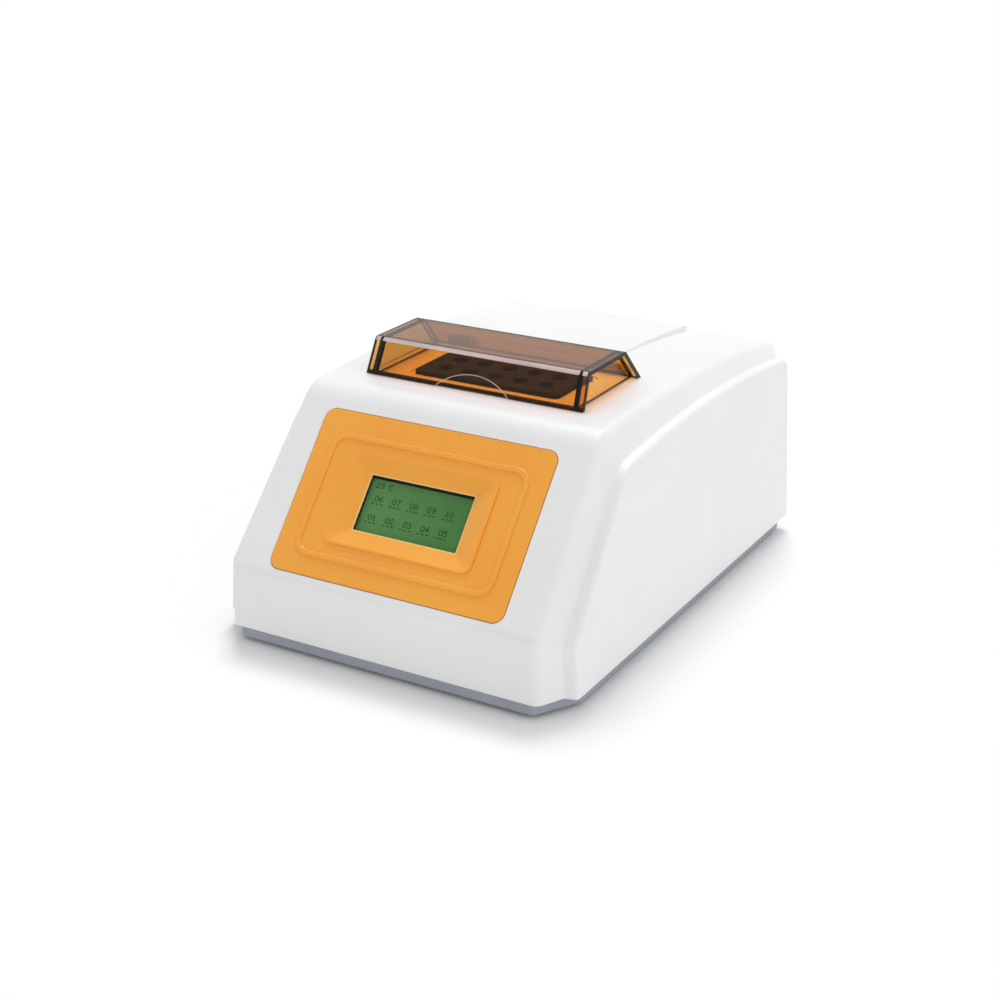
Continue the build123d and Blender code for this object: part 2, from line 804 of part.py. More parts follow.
# Display: window pane, metal bezel, liquid crystal cell, light guide and board
bezel_front = -frame_back_depth - display_gap
cell_front = bezel_front - bezel_sheet
cell_back = cell_front - cell_thickness
board_front = cell_back - backlight_thickness
board_back = board_front - board_thickness
with BuildPart() as display_window:
    with BuildSketch(slope_plane(sill_lift, window_middle)):
        Rectangle(window_length + 2 * window_overlap, window_height + 2 * window_overlap)
    extrude(amount=-window_thickness)
display_window.part.label = "display_window"
export_step(display_window.part, "parts/display_window.step")

with BuildPart() as display_bezel:
    with BuildSketch(slope_plane(bezel_front, window_middle)):
        Rectangle(cell_length + 2 * bezel_sheet, cell_height + 2 * bezel_sheet)
    extrude(amount=board_front - bezel_front)
    with BuildSketch(slope_plane(cell_front, window_middle)):
        Rectangle(cell_length, cell_height)
    extrude(amount=board_front - cell_front, mode=Mode.SUBTRACT)
    with BuildSketch(slope_plane(bezel_front, window_middle)):
        Rectangle(window_length + 2 * bezel_reveal, window_height + 2 * bezel_reveal)
    extrude(amount=-bezel_sheet, mode=Mode.SUBTRACT)
display_bezel.part.label = "display_bezel"
export_step(display_bezel.part, "parts/display_bezel.step")

with BuildPart() as display_glass:
    with BuildSketch(slope_plane(cell_front, window_middle)):
        Rectangle(cell_length, cell_height)
    extrude(amount=-cell_thickness)
display_glass.part.label = "display_glass"
export_step(display_glass.part, "parts/display_glass.step")

with BuildPart() as display_backlight:
    with BuildSketch(slope_plane(cell_back, window_middle)):
        Rectangle(cell_length, cell_height)
    extrude(amount=-backlight_thickness)
display_backlight.part.label = "display_backlight"
export_step(display_backlight.part, "parts/display_backlight.step")

with BuildPart() as display_board:
    with BuildSketch(slope_plane(board_front, window_middle)):
        Rectangle(display_board_length, display_board_height)
        with GridLocations(2 * display_hole_x, 2 * display_hole_s, 2, 2):
            Circle(shank_hole, mode=Mode.SUBTRACT)
    extrude(amount=-board_thickness)
display_board.part.label = "display_board"
export_step(display_board.part, "parts/display_board.step")

with BuildPart() as display_spacers:
    with BuildSketch(slope_plane(board_front, window_middle)):
        with GridLocations(2 * display_hole_x, 2 * display_hole_s, 2, 2):
            Circle(spacer_radius)
            Circle(shank_hole, mode=Mode.SUBTRACT)
    extrude(amount=-frame_back_depth - board_front)
display_spacers.part.label = "display_spacers"
export_step(display_spacers.part, "parts/display_spacers.step")

with BuildPart(slope_plane(board_back, window_middle)) as display_screws:
    reach = frame_back_depth / 2 - board_back - frame_back_depth
    screws(four(display_hole_x, display_hole_s, 0), *small_screw, reach, up=False)
display_screws.part.label = "display_screws"
export_step(display_screws.part, "parts/display_screws.step")

plug_s = -display_board_height / 4
with BuildPart(slope_plane(board_back, window_middle)) as display_plug:
    with Locations((ribbon_x, plug_s, 0)):
        Box(ribbon_width + 2 * ribbon_thickness, plug_depth, plug_height, align=top)
display_plug.part.label = "display_plug"
export_step(display_plug.part, "parts/display_plug.step")


# Lid: a see-through folded hood with inset end walls, a finger grip and two knuckles
def lid_outline(x, inset, base_z):
    """Section of the lid at x, drawn in by inset and reaching down to base_z."""
    back_run = lid_depth - lid_front_run - lid_top_depth
    front_rate, back_rate = lid_front_run / lid_height, back_run / lid_height
    front_y = lambda z: well_y - lid_depth / 2 + front_rate * (z - lid_z) + inset * sqrt(1 + front_rate**2)
    back_y = lambda z: well_y + lid_depth / 2 - back_rate * (z - lid_z) - inset * sqrt(1 + back_rate**2)
    high = lid_z + lid_height - inset
    place = lambda y, z: (y, (z - lid_z) / cos(radians(lid_end_lean)))
    corners = [place(front_y(high), high), place(back_y(high), high)]
    feet_points = [place(back_y(base_z), base_z), place(front_y(base_z), base_z)]
    with BuildSketch(leaning_plane(x, lid_z, lid_end_lean)) as outline:
        with BuildLine():
            Polyline(corners + feet_points, close=True)
        make_face()
        rounding = lid_inner_radius if inset else lid_edge_radius
        for corner in corners:
            fillet(outline.vertices().sort_by_distance(corner)[0], rounding)
    return outline.sketch


def lid_back_y(z):
    """Outer face of the lid's rear wall at height z."""
    return well_y + lid_depth / 2 - (lid_depth - lid_front_run - lid_top_depth) / lid_height * (z - lid_z)


lid_end_lean = degrees(atan2((lid_length - lid_top_length) / 2, lid_height))
with BuildPart() as lid:
    half = lid_length / 2
    loft([lid_outline(x, 0, lid_z) for x in (-half, half)], ruled=True)
    hollow = [lid_outline(x, lid_wall, lid_z - past) for x in (-half - wall, half + wall)]
    loft(hollow, ruled=True, mode=Mode.SUBTRACT)
    for side in (-1, 1):
        faces_of_end = [side * (half - lid_end_inset), side * (half - lid_end_inset - lid_wall)]
        loft([lid_outline(x, lid_wall, lid_z) for x in sorted(faces_of_end)], ruled=True)
    front_rate = lid_front_run / lid_height
    grip_plane = Plane(origin=(0, well_y - lid_depth / 2, lid_z), x_dir=(1, 0, 0), z_dir=(0, -1, front_rate))
    grip_radius = ((grip_chord / 2) ** 2 + grip_rise**2) / (2 * grip_rise)
    with BuildSketch(grip_plane):
        with Locations((0, grip_rise - grip_radius)):
            Circle(grip_radius)
    extrude(amount=-grip_depth, mode=Mode.SUBTRACT)
    low, high = hinge_z - knuckle_web, hinge_z + knuckle_radius
    bite = lid_wall / 2
    for x in (-hinge_x, hinge_x):
        with BuildSketch(Plane.YZ.offset(x - knuckle_length / 2)):
            with BuildLine():
                Polyline(
                    (hinge_y, low),
                    (hinge_y, high),
                    (lid_back_y(high) - bite, high),
                    (lid_back_y(low) - bite, low),
                    close=True,
                )
            make_face()
            with Locations((hinge_y, hinge_z)):
                Circle(knuckle_radius)
                Circle(pin_radius + pin_clearance, mode=Mode.SUBTRACT)
        extrude(amount=knuckle_length)
lid.part.label = "lid"
export_step(lid.part, "parts/lid.step")

with BuildPart() as hinge_brackets:
    with Locations(*[(s * hinge_x, bracket_y, bracket_floor_z) for s in (-1, 1)]):
        Box(bracket_length, bracket_depth, bracket_base, align=bottom)
    ear_low = bracket_floor_z + bracket_base
    for x in (-hinge_x, hinge_x):
        for ear_x in (x - bracket_length / 2, x + bracket_length / 2 - ear_thickness):
            with BuildSketch(Plane.YZ.offset(ear_x)):
                with Locations((hinge_y, hinge_z)):
                    Rectangle(2 * knuckle_radius, hinge_z - ear_low, align=(Align.CENTER, Align.MAX))
                    Circle(knuckle_radius)
                    Circle(pin_radius, mode=Mode.SUBTRACT)
            extrude(amount=ear_thickness)
    for x in (-hinge_x, hinge_x):
        with Locations(*four(bracket_screw_spacing / 2, 0, ear_low, x, bracket_screw_y)):
            Cylinder(shank_hole, bracket_base, align=top, mode=Mode.SUBTRACT)
hinge_brackets.part.label = "hinge_brackets"
export_step(hinge_brackets.part, "parts/hinge_brackets.step")

with BuildPart() as hinge_pins:
    for x in (-hinge_x, hinge_x):
        with Locations((x, hinge_y, hinge_z)):
            Cylinder(pin_radius, bracket_length, rotation=(0, 90, 0))
hinge_pins.part.label = "hinge_pins"
export_step(hinge_pins.part, "parts/hinge_pins.step")

with BuildPart() as bracket_screws:
    half_spacing = bracket_screw_spacing / 2
    screw_x = [side * hinge_x + offset for side in (-1, 1) for offset in (-half_spacing, half_spacing)]
    spots = [(x, bracket_screw_y, ear_low) for x in screw_x]
    screws(spots, *small_screw, bracket_base + small_length - floor_tip_gap)
bracket_screws.part.label = "bracket_screws"
export_step(bracket_screws.part, "parts/bracket_screws.step")

# Sample plate with its ten holes, and the head plate of the rack under it
plate_top = seat_z + plate_proud
plate_z = plate_top - plate_thickness
head_z = plate_z - head_thickness
rack_top = rack_z + rack_thickness
with BuildPart() as sample_plate:
    with BuildSketch(Plane.XY.offset(plate_z)):
        with Locations((0, well_y)):
            RectangleRounded(plate_length, plate_depth, plate_corner)
    extrude(amount=plate_thickness)
    fillet(sample_plate.edges().group_by(Axis.Z)[-1], plate_edge)
    with Locations((0, well_y, plate_z)):
        with GridLocations(well_pitch, well_pitch, well_columns, well_rows):
            Cylinder(well_radius, plate_thickness, align=bottom, mode=Mode.SUBTRACT)
    circles = sample_plate.edges().filter_by(GeomType.CIRCLE)
    mouths = circles.filter_by(lambda edge: abs(edge.radius - well_radius) < well_mouth / 2)
    chamfer(mouths.group_by(Axis.Z)[-1], well_mouth)
    with Locations(*four(column_x, plate_screw_y, plate_z, 0, well_y)):
        Cylinder(small_shank_radius, small_length, align=bottom, mode=Mode.SUBTRACT)
sample_plate.part.label = "sample_plate"
export_step(sample_plate.part, "parts/sample_plate.step")

with BuildPart() as rack_head:
    with BuildSketch(Plane.XY.offset(head_z)):
        with Locations((0, well_y)):
            RectangleRounded(rack_length, rack_depth, rack_corner)
        with Locations((0, well_y + screw_y)):
            Circle(nut_arm_radius)
        with Locations((0, well_y + screw_y / 2)):
            Rectangle(2 * nut_arm_radius, screw_y)
        with Locations((0, well_y)):
            with GridLocations(well_pitch, well_pitch, well_columns, well_rows):
                Circle(well_radius, mode=Mode.SUBTRACT)
        for y in (column_y, plate_screw_y):
            with Locations(*[(x, y) for x, y, _ in four(column_x, y, 0, 0, well_y)]):
                Circle(shank_hole, mode=Mode.SUBTRACT)
        with Locations((-rod_x, well_y), (rod_x, well_y)):
            Circle(rod_radius, mode=Mode.SUBTRACT)
        with Locations((0, well_y + screw_y)):
            Circle(bearing_radius, mode=Mode.SUBTRACT)
    extrude(amount=head_thickness)
rack_head.part.label = "rack_head"
export_step(rack_head.part, "parts/rack_head.step")

# Tube rack: the drilled lower block, the soft mat and the base plate under it, columns and screws
with BuildPart() as tube_rack:
    with BuildSketch(Plane.XY.offset(rack_z)):
        with Locations((0, well_y)):
            RectangleRounded(rack_length, rack_depth, rack_corner)
    extrude(amount=rack_thickness)
    with Locations((0, well_y, rack_top)):
        with GridLocations(well_pitch, well_pitch, well_columns, well_rows):
            Cylinder(well_radius, rack_thickness, align=top, mode=Mode.SUBTRACT)
    with Locations(*four(column_x, column_y, rack_top, 0, well_y)):
        Cylinder(column_radius / 2, rod_socket, align=top, mode=Mode.SUBTRACT)
    with Locations((-rod_x, well_y, rack_top), (rod_x, well_y, rack_top)):
        Cylinder(rod_radius, rod_socket, align=top, mode=Mode.SUBTRACT)
    with Locations(*four(pillar_x, pillar_y, rack_top, 0, well_y)):
        Cylinder(screw_shank_radius + hole_gap, rack_thickness, align=top, mode=Mode.SUBTRACT)
        Cylinder(screw_head_radius + head_gap, rack_thickness / 2, align=top, mode=Mode.SUBTRACT)
tube_rack.part.label = "tube_rack"
export_step(tube_rack.part, "parts/tube_rack.step")

with BuildPart() as rack_mat:
    with BuildSketch(Plane.XY.offset(mat_z)):
        with Locations((0, well_y)):
            RectangleRounded(rack_length, rack_depth, rack_corner)
            with GridLocations(2 * pillar_x, 2 * pillar_y, 2, 2):
                Circle(screw_shank_radius + hole_gap, mode=Mode.SUBTRACT)
    extrude(amount=mat_thickness)
rack_mat.part.label = "rack_mat"
export_step(rack_mat.part, "parts/rack_mat.step")

with BuildPart() as rack_base:
    with BuildSketch(Plane.XY.offset(rack_base_z)):
        with Locations((0, well_y)):
            RectangleRounded(rack_length, rack_depth, rack_corner)
            with GridLocations(2 * pillar_x, 2 * pillar_y, 2, 2):
                Circle(screw_shank_radius + hole_gap, mode=Mode.SUBTRACT)
    extrude(amount=base_thickness)
rack_base.part.label = "rack_base"
export_step(rack_base.part, "parts/rack_base.step")

with BuildPart() as rack_columns:
    with Locations(*four(column_x, column_y, rack_top, 0, well_y)):
        Cylinder(column_radius, head_z - rack_top, align=bottom)
        Cylinder(column_radius / 2, rod_socket, align=top)
    with Locations(*four(column_x, column_y, head_z, 0, well_y)):
        Cylinder(small_shank_radius, small_length, align=top, mode=Mode.SUBTRACT)
rack_columns.part.label = "rack_columns"
export_step(rack_columns.part, "parts/rack_columns.step")

with BuildPart() as rack_screws:
    counterbore_z = rack_top - rack_thickness / 2
    places = four(pillar_x, pillar_y, counterbore_z, 0, well_y)
    screws(places, *large_screw, counterbore_z - rack_base_z + screw_length - tip_gap)
rack_screws.part.label = "rack_screws"
export_step(rack_screws.part, "parts/rack_screws.step")

with BuildPart() as head_screws:
    head_cap = (small_head_radius, head_cap_height, small_shank_radius)
    reach = head_thickness + small_length - tip_gap
    screws(four(column_x, column_y, plate_z, 0, well_y), *head_cap, reach)
    screws(four(column_x, plate_screw_y, head_z, 0, well_y), *small_screw, reach, up=False)
head_screws.part.label = "head_screws"
export_step(head_screws.part, "parts/head_screws.step")

# Scanning carriage: a slotted frame on two guide rods with light bars and a sensor bar
carriage_z = rack_top + carriage_rest_gap
carriage_top = carriage_z + carriage_thickness
with BuildPart() as carriage:
    with BuildSketch(Plane.XY.offset(carriage_z)):
        with Locations((0, well_y)):
            RectangleRounded(carriage_length, carriage_depth, carriage_corner)
        with Locations((-rod_x / 2, well_y), (rod_x / 2, well_y)):
            Rectangle(rod_x, arm_width)
        with Locations((0, well_y + screw_y / 2)):
            Rectangle(2 * nut_arm_radius, screw_y)
        with Locations((0, well_y + screw_y)):
            Circle(nut_arm_radius)
        with Locations((0, well_y)):
            slot_length = well_pitch * (well_columns - 1) + carriage_slot
            with GridLocations(1, well_pitch, 1, well_rows):
                SlotOverall(slot_length, carriage_slot, mode=Mode.SUBTRACT)
    extrude(amount=carriage_thickness)
    with Locations((-rod_x, well_y, carriage_z), (rod_x, well_y, carriage_z)):
        Cylinder(rod_boss_radius, bushing_length, align=bottom)
        Cylinder(bushing_radius, bushing_length, align=bottom, mode=Mode.SUBTRACT)
    with Locations((0, well_y + screw_y, carriage_z)):
        Cylinder(nut_radius, carriage_thickness, align=bottom, mode=Mode.SUBTRACT)
    with Locations((flag_x, well_y + carriage_depth / 2, carriage_z - flag_drop)):
        Box(flag_thickness, flag_reach, flag_drop + carriage_thickness, align=from_front_low)
carriage.part.label = "carriage"
export_step(carriage.part, "parts/carriage.step")


def beam_holes(y, z, depth):
    """Small holes along Y in front of each tube place."""
    spots = [(well_pitch * (i - (well_columns - 1) / 2), y, z) for i in range(well_columns)]
    with Locations(*spots):
        Cylinder(beam_radius, depth, rotation=(90, 0, 0), mode=Mode.SUBTRACT)


slot_edge = well_pitch * (well_rows - 1) / 2 + carriage_slot / 2
with BuildPart() as led_bars:
    bar_y = slot_edge + bar_gap + bar_width / 2
    with Locations((0, well_y - bar_y, carriage_top), (0, well_y + bar_y, carriage_top)):
        Box(bar_length, bar_width, bar_height, align=bottom)
    for y in (well_y - bar_y, well_y + bar_y):
        beam_holes(y, carriage_top + bar_height / 2, bar_width)
led_bars.part.label = "led_bars"
export_step(led_bars.part, "parts/led_bars.step")

with BuildPart() as sensor_bar:
    sensor_bar_width = well_pitch - carriage_slot - 2 * bar_gap
    with Locations((0, well_y, carriage_top)):
        Box(bar_length, sensor_bar_width, bar_height, align=bottom)
    beam_holes(well_y, carriage_top + bar_height / 2, sensor_bar_width)
sensor_bar.part.label = "sensor_bar"
export_step(sensor_bar.part, "parts/sensor_bar.step")

with BuildPart() as carriage_bushings:
    with Locations((-rod_x, well_y, carriage_z), (rod_x, well_y, carriage_z)):
        Cylinder(bushing_radius, bushing_length, align=bottom)
        Cylinder(rod_radius + running_gap, bushing_length, align=bottom, mode=Mode.SUBTRACT)
carriage_bushings.part.label = "carriage_bushings"
export_step(carriage_bushings.part, "parts/carriage_bushings.step")

with BuildPart() as lead_nut:
    with Locations((0, well_y + screw_y, carriage_z)):
        Cylinder(nut_radius, carriage_thickness, align=bottom)
    with Locations((0, well_y + screw_y, carriage_top)):
        Cylinder(nut_flange_radius, nut_flange, align=bottom)
    with Locations((0, well_y + screw_y, carriage_z)):
        Cylinder(screw_radius + running_gap, 2 * carriage_thickness, align=bottom, mode=Mode.SUBTRACT)
lead_nut.part.label = "lead_nut"
export_step(lead_nut.part, "parts/lead_nut.step")

with BuildPart() as guide_rods:
    with Locations((-rod_x, well_y, rack_top - rod_socket), (rod_x, well_y, rack_top - rod_socket)):
        Cylinder(rod_radius, plate_z - rack_top + rod_socket, align=bottom)
guide_rods.part.label = "guide_rods"
export_step(guide_rods.part, "parts/guide_rods.step")

with BuildPart() as home_sensor:
    with Locations((flag_x, well_y + carriage_depth / 2 + flag_reach / 2, rack_top)):
        Box(sensor_width, flag_reach + sensor_past_flag, sensor_height, align=bottom)
    with Locations((flag_x, well_y + carriage_depth / 2 + flag_reach / 2, rack_top + sensor_floor)):
        slot_depth = flag_reach + sensor_past_flag
        Box(sensor_slot, slot_depth, sensor_height, align=bottom, mode=Mode.SUBTRACT)
home_sensor.part.label = "home_sensor"
export_step(home_sensor.part, "parts/home_sensor.step")

# Drive: motor hung from its bracket, coupling and lead screw
motor_z = floor_z + motor_gap
motor_top = motor_z + motor_height
coupling_z = motor_top + sheet + coupling_gap
shaft_top = coupling_z + coupling_length / 2 - coupling_gap
with BuildPart() as stepper_motor:
    with BuildSketch(Plane.XY.offset(motor_z)):
        with Locations((0, motor_y)):
            RectangleRounded(motor_side, motor_side, motor_corner)
    extrude(amount=motor_height)
    with Locations((0, motor_y, motor_top)):
        Cylinder(motor_boss_radius, motor_boss_height, align=bottom)
    with Locations((0, motor_y, motor_top + motor_boss_height)):
        Cylinder(shaft_radius + running_gap, motor_bore, align=top, mode=Mode.SUBTRACT)
    with Locations(*four(motor_hole_spacing / 2, motor_hole_spacing / 2, motor_top, 0, motor_y)):
        Cylinder(small_shank_radius, small_length, align=top, mode=Mode.SUBTRACT)
stepper_motor.part.label = "stepper_motor"
export_step(stepper_motor.part, "parts/stepper_motor.step")

with BuildPart() as motor_shaft:
    shaft_z = motor_top + motor_boss_height - motor_bore + motor_gap
    with Locations((0, motor_y, shaft_z)):
        Cylinder(shaft_radius, shaft_top - shaft_z, align=bottom)
motor_shaft.part.label = "motor_shaft"
export_step(motor_shaft.part, "parts/motor_shaft.step")

with BuildPart() as motor_bracket:
    with BuildSketch(Plane.XZ.offset(-motor_y)):
        with BuildLine():
            right = [
                (bracket_half, motor_top),
                (bracket_half, floor_z),
                (foot_end, floor_z),
                (foot_end, floor_z + sheet),
                (bracket_half + sheet, floor_z + sheet),
                (bracket_half + sheet, motor_top + sheet),
            ]
            Polyline([(-x, z) for x, z in reversed(right)] + right, close=True)
        make_face()
    extrude(amount=bracket_half, both=True)
    with Locations((0, motor_y, motor_top)):
        Cylinder(motor_boss_radius + 2 * hole_gap, sheet, align=bottom, mode=Mode.SUBTRACT)
    with Locations(*four(motor_hole_spacing / 2, motor_hole_spacing / 2, motor_top, 0, motor_y)):
        Cylinder(shank_hole, sheet, align=bottom, mode=Mode.SUBTRACT)
    with Locations(*four(foot_middle, motor_side / 4, floor_z, 0, motor_y)):
        Cylinder(shank_hole, sheet, align=bottom, mode=Mode.SUBTRACT)
motor_bracket.part.label = "motor_bracket"
export_step(motor_bracket.part, "parts/motor_bracket.step")

with BuildPart() as motor_screws:
    half = motor_hole_spacing / 2
    screws(four(half, half, motor_top + sheet, 0, motor_y), *small_screw, sheet + small_length - tip_gap)
    feet_places = four(foot_middle, motor_side / 4, floor_z + sheet, 0, motor_y)
    screws(feet_places, *small_screw, sheet + pan_floor - floor_tip_gap)
motor_screws.part.label = "motor_screws"
export_step(motor_screws.part, "parts/motor_screws.step")

with BuildPart() as motor_coupling:
    with Locations((0, motor_y, coupling_z)):
        Cylinder(coupling_radius, coupling_length, align=bottom)
        Cylinder(shaft_radius, coupling_length / 2, align=bottom, mode=Mode.SUBTRACT)
    with Locations((0, motor_y, coupling_z + coupling_length / 2)):
        Cylinder(screw_radius, coupling_length / 2, align=bottom, mode=Mode.SUBTRACT)
    rims = motor_coupling.edges().filter_by(lambda edge: edge.length > 6 * coupling_radius)
    fillet(rims, coupling_rounding)
motor_coupling.part.label = "motor_coupling"
export_step(motor_coupling.part, "parts/motor_coupling.step")

with BuildPart() as lead_screw:
    screw_z = coupling_z + coupling_length / 2
    with Locations((0, motor_y, screw_z)):
        Cylinder(screw_radius, head_z - journal_gap - screw_z, align=bottom)
    with Locations((0, motor_y, head_z - journal_gap)):
        Cylinder(journal_radius, head_thickness + journal_gap, align=bottom)
lead_screw.part.label = "lead_screw"
export_step(lead_screw.part, "parts/lead_screw.step")

with BuildPart() as screw_bearing:
    with Locations((0, motor_y, head_z)):
        Cylinder(bearing_radius, head_thickness, align=bottom)
        Cylinder(journal_radius + running_gap, head_thickness, align=bottom, mode=Mode.SUBTRACT)
screw_bearing.part.label = "screw_bearing"
export_step(screw_bearing.part, "parts/screw_bearing.step")

# Rear plate: an angle of sheet metal that stands on the pan floor behind the bay
plate_half_height = bay_height / 2 + bay_collar + rear_margin
with BuildPart() as rear_plate:
    rear_length = 2 * rear_half_length
    high = bay_z + plate_half_height
    with Locations((0, rear_plate_y, floor_z)):
        Box(rear_length, rear_sheet, high - floor_z, align=from_back_low)
    with Locations((0, rear_plate_y - rear_sheet, floor_z)):
        Box(rear_length, rear_foot, rear_sheet, align=from_back_low)
    with BuildSketch(Plane.XZ.offset(-rear_plate_y)):
        with Locations((inlet_x, bay_z)):
            Rectangle(inlet_body_width, inlet_body_height)
        with Locations((switch_x, bay_z)):
            Rectangle(switch_body_width, switch_body_height)
        with Locations((port_x, bay_z)):
            Rectangle(port_shell_length + 2 * port_hole_gap, port_shell_height + 2 * port_hole_gap)
            with GridLocations(port_nut_spacing, 1, 2, 1):
                Circle(small_shank_radius)
    extrude(amount=rear_sheet, mode=Mode.SUBTRACT)
    with Locations(*[(x, y, floor_z) for x, y in rear_screw_places]):
        Cylinder(shank_hole, rear_sheet, align=bottom, mode=Mode.SUBTRACT)
rear_plate.part.label = "rear_plate"
export_step(rear_plate.part, "parts/rear_plate.step")

with BuildPart() as plate_screws:
    spots = [(x, y, floor_z + rear_sheet) for x, y in rear_screw_places]
    screws(spots, *small_screw, rear_sheet + pan_floor - floor_tip_gap)
plate_screws.part.label = "plate_screws"
export_step(plate_screws.part, "parts/plate_screws.step")

# Mains inlet: flange and body with the plug socket below and the fuse drawer above
socket_z = bay_z - socket_offset
drawer_z = bay_z + drawer_offset
inlet_face_y = rear_plate_y + inlet_flange
with BuildPart() as power_inlet:
    with Locations((inlet_x, rear_plate_y, bay_z)):
        Box(inlet_width, inlet_flange, inlet_height, align=to_back)
        Box(inlet_body_width, inlet_body_depth, inlet_body_height, align=to_front)
    fillet(power_inlet.edges().filter_by(Axis.Y).group_by(SortBy.LENGTH)[0], inlet_corner)
    with BuildSketch(Plane.XZ.offset(-inlet_face_y)) as socket_mouth:
        with Locations((inlet_x, socket_z)):
            Rectangle(socket_width, socket_height)
        chamfer(socket_mouth.vertices().group_by(Axis.Y)[0], socket_height / 4)
    extrude(amount=socket_depth, mode=Mode.SUBTRACT)
    with Locations((inlet_x, inlet_face_y, drawer_z)):
        Box(
            drawer_width + 2 * drawer_gap,
            drawer_depth + drawer_end_gap,
            drawer_height + 2 * drawer_gap,
            align=to_front,
            mode=Mode.SUBTRACT,
        )
        lip = 2 * (drawer_lip + drawer_gap)
        Box(drawer_width + lip, drawer_face, drawer_height + lip, align=to_front, mode=Mode.SUBTRACT)
    blades = [(inlet_x, socket_z + blade_offset / 2)]
    blades += [(inlet_x + s * blade_spacing / 2, socket_z - blade_offset / 2) for s in (-1, 1)]
    with Locations(*[(x, inlet_face_y - socket_depth, z) for x, z in blades]):
        Box(blade_width, inlet_body_depth, blade_height, align=to_front, mode=Mode.SUBTRACT)
power_inlet.part.label = "power_inlet"
export_step(power_inlet.part, "parts/power_inlet.step")

with BuildPart() as inlet_blades:
    blade_end_y = inlet_face_y - socket_depth + blade_length
    with Locations(*[(x, blade_end_y, z) for x, z in blades]):
        Box(
            blade_width,
            blade_end_y - rear_plate_y + inlet_body_depth + blade_tail,
            blade_height,
            align=to_front,
        )
    fillet(inlet_blades.edges().filter_by(Axis.Z).group_by(Axis.Y)[-1], blade_width / 4)
inlet_blades.part.label = "inlet_blades"
export_step(inlet_blades.part, "parts/inlet_blades.step")

tray_y = inlet_face_y - drawer_face - drawer_front_wall
tray_length = drawer_depth - drawer_face - 2 * drawer_front_wall
with BuildPart() as fuse_drawer:
    with Locations((inlet_x, inlet_face_y, drawer_z)):
        Box(drawer_width, drawer_depth, drawer_height, align=to_front)
        lip = 2 * drawer_lip
        Box(drawer_width + lip, drawer_face - drawer_gap, drawer_height + lip, align=to_front)
        Box(drawer_width / 3, drawer_face / 2, drawer_height / 3, align=to_front, mode=Mode.SUBTRACT)
    with Locations((inlet_x, tray_y, drawer_z)):
        tray_width = drawer_width - 2 * drawer_side_wall
        Box(tray_width, tray_length, drawer_height, align=to_front, mode=Mode.SUBTRACT)
fuse_drawer.part.label = "fuse_drawer"
export_step(fuse_drawer.part, "parts/fuse_drawer.step")

with BuildPart() as fuse_link:
    with Locations((inlet_x, tray_y - tray_length / 2, drawer_z)):
        Cylinder(drawer_height / 2 - drawer_lip, tray_length, rotation=(90, 0, 0))
fuse_link.part.label = "fuse_link"
export_step(fuse_link.part, "parts/fuse_link.step")

# Power switch: housing and rocker
pivot_y = rear_plate_y + switch_flange - rocker_pivot_depth
with BuildPart() as switch_housing:
    with Locations((switch_x, rear_plate_y, bay_z)):
        Box(switch_width, switch_flange, switch_height, align=to_back)
        Box(switch_body_width, switch_body_depth, switch_body_height, align=to_front)
    with Locations((switch_x, rear_plate_y + switch_flange, bay_z)):
        Box(rocker_opening, rocker_depth, rocker_opening_height, align=to_front, mode=Mode.SUBTRACT)
    with Locations((switch_x, pivot_y, bay_z)):
        Cylinder(rocker_pin_radius + running_gap, switch_body_width, rotation=(0, 90, 0), mode=Mode.SUBTRACT)
switch_housing.part.label = "switch_housing"
export_step(switch_housing.part, "parts/switch_housing.step")

with BuildPart() as switch_rocker:
    with BuildSketch(Plane.YZ.offset(switch_x)):
        with Locations((pivot_y, bay_z)):
            points = [
                (rocker_tip, -rocker_half),
                (rocker_middle, 0),
                (rocker_tip, rocker_half),
                (-rocker_pin_radius, rocker_shoulder),
                (-2 * rocker_pin_radius, 0),
                (-rocker_pin_radius, -rocker_shoulder),
            ]
            Polygon(*points, rotation=-rocker_angle, align=None)
    extrude(amount=rocker_width / 2, both=True)
    with Locations((switch_x, pivot_y, bay_z)):
        Cylinder(rocker_pin_radius, switch_body_width - 2 * rocker_pin_gap, rotation=(0, 90, 0))
switch_rocker.part.label = "switch_rocker"
export_step(switch_rocker.part, "parts/switch_rocker.step")

# Serial port on the rear plate with its two threaded posts
with BuildPart() as data_port:
    with Locations((port_x, rear_plate_y, bay_z)):
        Box(port_length, port_sheet, port_height, align=to_back)
        Box(port_shell_length, port_body_depth, port_shell_height, align=to_front)
    with BuildSketch(Plane.XZ.offset(-rear_plate_y - port_sheet)):
        with Locations((port_x, bay_z)):
            Trapezoid(port_shell_length, port_shell_height, port_shell_angle, rotation=180)
    extrude(amount=-port_shell_reach)
    fillet(data_port.edges().filter_by(Axis.Y).sort_by(Axis.Y)[-4:], port_shell_rounding)
    socket_y = rear_plate_y + port_sheet + port_shell_reach
    for z, count in ((port_pin_pitch / 2, 5), (-port_pin_pitch / 2, 4)):
        left_x = port_x - port_pin_pitch * (count - 1) / 2
        with Locations(*[(left_x + port_pin_pitch * i, socket_y, bay_z + z) for i in range(count)]):
            depth = 2 * port_shell_reach
            Cylinder(port_pin_radius, depth, rotation=(90, 0, 0), mode=Mode.SUBTRACT)
    with Locations(*[(port_x + s * port_nut_spacing / 2, rear_plate_y, bay_z) for s in (-1, 1)]):
        Cylinder(small_shank_radius, 4 * port_sheet, rotation=(90, 0, 0), mode=Mode.SUBTRACT)
data_port.part.label = "data_port"
export_step(data_port.part, "parts/data_port.step")

